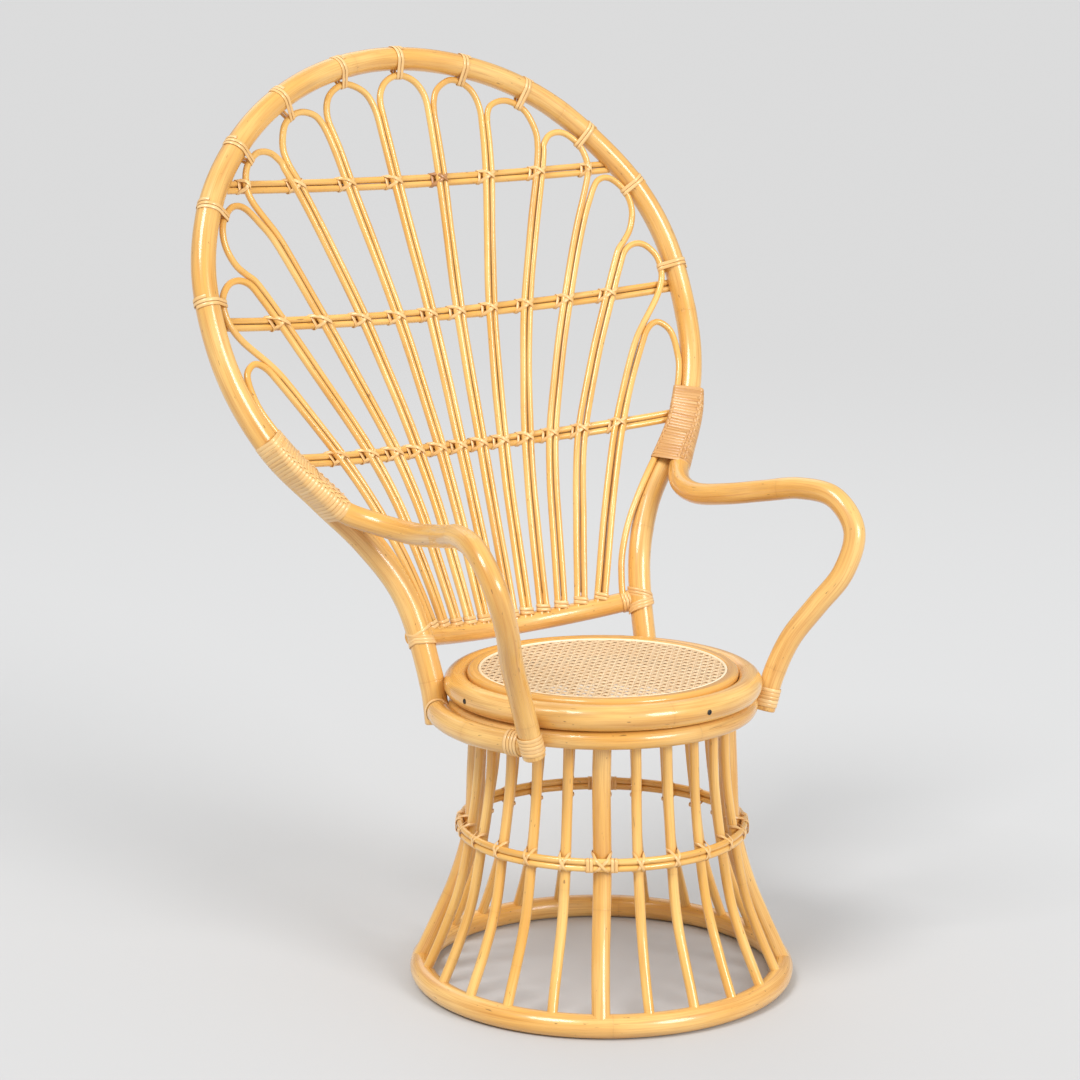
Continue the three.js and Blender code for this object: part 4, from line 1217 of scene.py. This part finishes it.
for name, side in (("right", 1), ("left", -1)):
    parts = []
    total = splice["turns"] * splice["steps"]
    rows = [spliceSkin(i / total, 2 * math.pi * i / splice["steps"] + math.pi, splice["thickness"] / 2)
            for i in range(total + 1)]
    width = (spliceAt(1.0)[0] - spliceAt(0.0)[0]).length / splice["turns"] * splice["overlap"]
    spliceStrip(parts, side, rows, width, splice["thickness"])
    for column, (degrees, begin) in enumerate(splice["weft"]):
        rows = []
        steps = round(splice["turns"] * (splice["end"] - begin) * 4)
        for i in range(steps + 1):
            share = begin + (splice["end"] - begin) * i / steps
            over = math.cos(math.pi * (share * splice["turns"] + column))
            lift = splice["thickness"] * (splice["weftLift"] + splice["weftWave"] * over)
            rows.append(spliceSkin(share, -math.radians(degrees), lift))
        spliceStrip(parts, side, rows, splice["weftWidth"], splice["weftThickness"])
    # The right wrap takes the darker finish: painted shade against the strong light on that side
    finishPiece(f"splice_wrap_{name}", parts, "shade_painted_strip" if side == 1 else "split_cane", "strip",
                f"splice_binding_{name}")
print("splices wrapped")


# Lashings at the rail's ends: strips slant both ways round the post, and bands go round the rail

postLashing = {"strands": 3, "pitch": 0.0042, "reach": 0.0145, "lift": 0.0006, "width": 0.0044,
               "thickness": 0.0011, "steps": 40}
railBands = {"count": 3, "from": 0.016, "apart": 0.0046, "turns": 1.05, "pitch": 0.001, "width": 0.0044,
             "thickness": 0.0011, "start": 1.0, "steps": 30, "slack": 0.0003}
footLashing = {"turns": 5.1, "pitch": 0.0052, "width": 0.0055, "thickness": 0.0014, "start": 2.0, "steps": 32,
               "lift": 0.003, "slack": 0.0002}
sideLashing = {"turns": 4.1, "pitch": 0.0049, "width": 0.0047, "thickness": 0.0013, "start": 2.0, "steps": 32,
               "slack": 0.0002, "fromFoot": 0.11, "postTurns": 2.1, "fromPost": 0.02}


def squareTo(along):
    u = along.orthogonal().normalized()
    return [u, along.cross(u), along]


# A band round one cane, on the right side or mirrored to the left one
def bandOn(parts, side, place, axes, radius, band):
    bandAround(parts, sided(side, [place])[0], sided(side, axes), ((0, 0, radius + band["slack"]),), band)


for name, side in (("right", 1), ("left", -1)):
    parts = []
    share = hoopShareAt(railLine[-1].z)
    centre, along = hoopPlace(share)
    inward = railLine[-2] - railLine[-1]
    inward = (inward - along * inward.dot(along)).normalized()
    aside = along.cross(inward)
    for family in (-1, 1):
        for strand in range(postLashing["strands"]):
            path, outs = [], []
            for step in range(postLashing["steps"] + 1):
                angle = 2 * math.pi * step / postLashing["steps"]
                lean = abs(1 - 2 * step / postLashing["steps"])
                height = family * (postLashing["pitch"] * (strand - 1) + postLashing["reach"] * lean)
                reach = hoopRadius(share) + postLashing["lift"] * (1 + strand + family)
                out = inward * math.cos(angle) + aside * math.sin(angle)
                path.append(centre + out * reach + along * height)
                outs.append(out)
            sweepStrip(parts, sided(side, path), sided(side, outs), postLashing["width"],
                       postLashing["thickness"])
    for turn in range(railBands["count"]):
        middle = railLine[-1] - railAlong * (railBands["from"] + railBands["apart"] * turn)
        bandOn(parts, side, middle, squareTo(railAlong), rail["cane"], railBands)
    finishPiece(f"post_lashing_{name}", parts, "split_cane", "strip", f"rail_binding_{name}")

    # Wraps round the arm's foot and the side rail's two ends
    parts = []
    middle = atHeight(footPath, sideRail["height"] + footLashing["lift"])
    bandOn(parts, side, middle, squareTo((footPath[-1] - footPath[0]).normalized()), arm["cane"], footLashing)
    footTurn = math.atan2(middle.y - seatLine.y, middle.x) + sideLashing["fromFoot"]
    postTurn = start - sideLashing["fromPost"]
    for angle, turns in ((footTurn, sideLashing["turns"]), (postTurn, sideLashing["postTurns"])):
        bandOn(parts, side, polar(sideRail["radius"], angle, sideRail["height"]),
               [outwardAt(angle), up, roundAt(angle)], sideRail["cane"], {**sideLashing, "turns": turns})
    finishPiece(f"foot_lashing_{name}", parts, "split_cane", "strip", f"foot_binding_{name}")
print("bindings made")
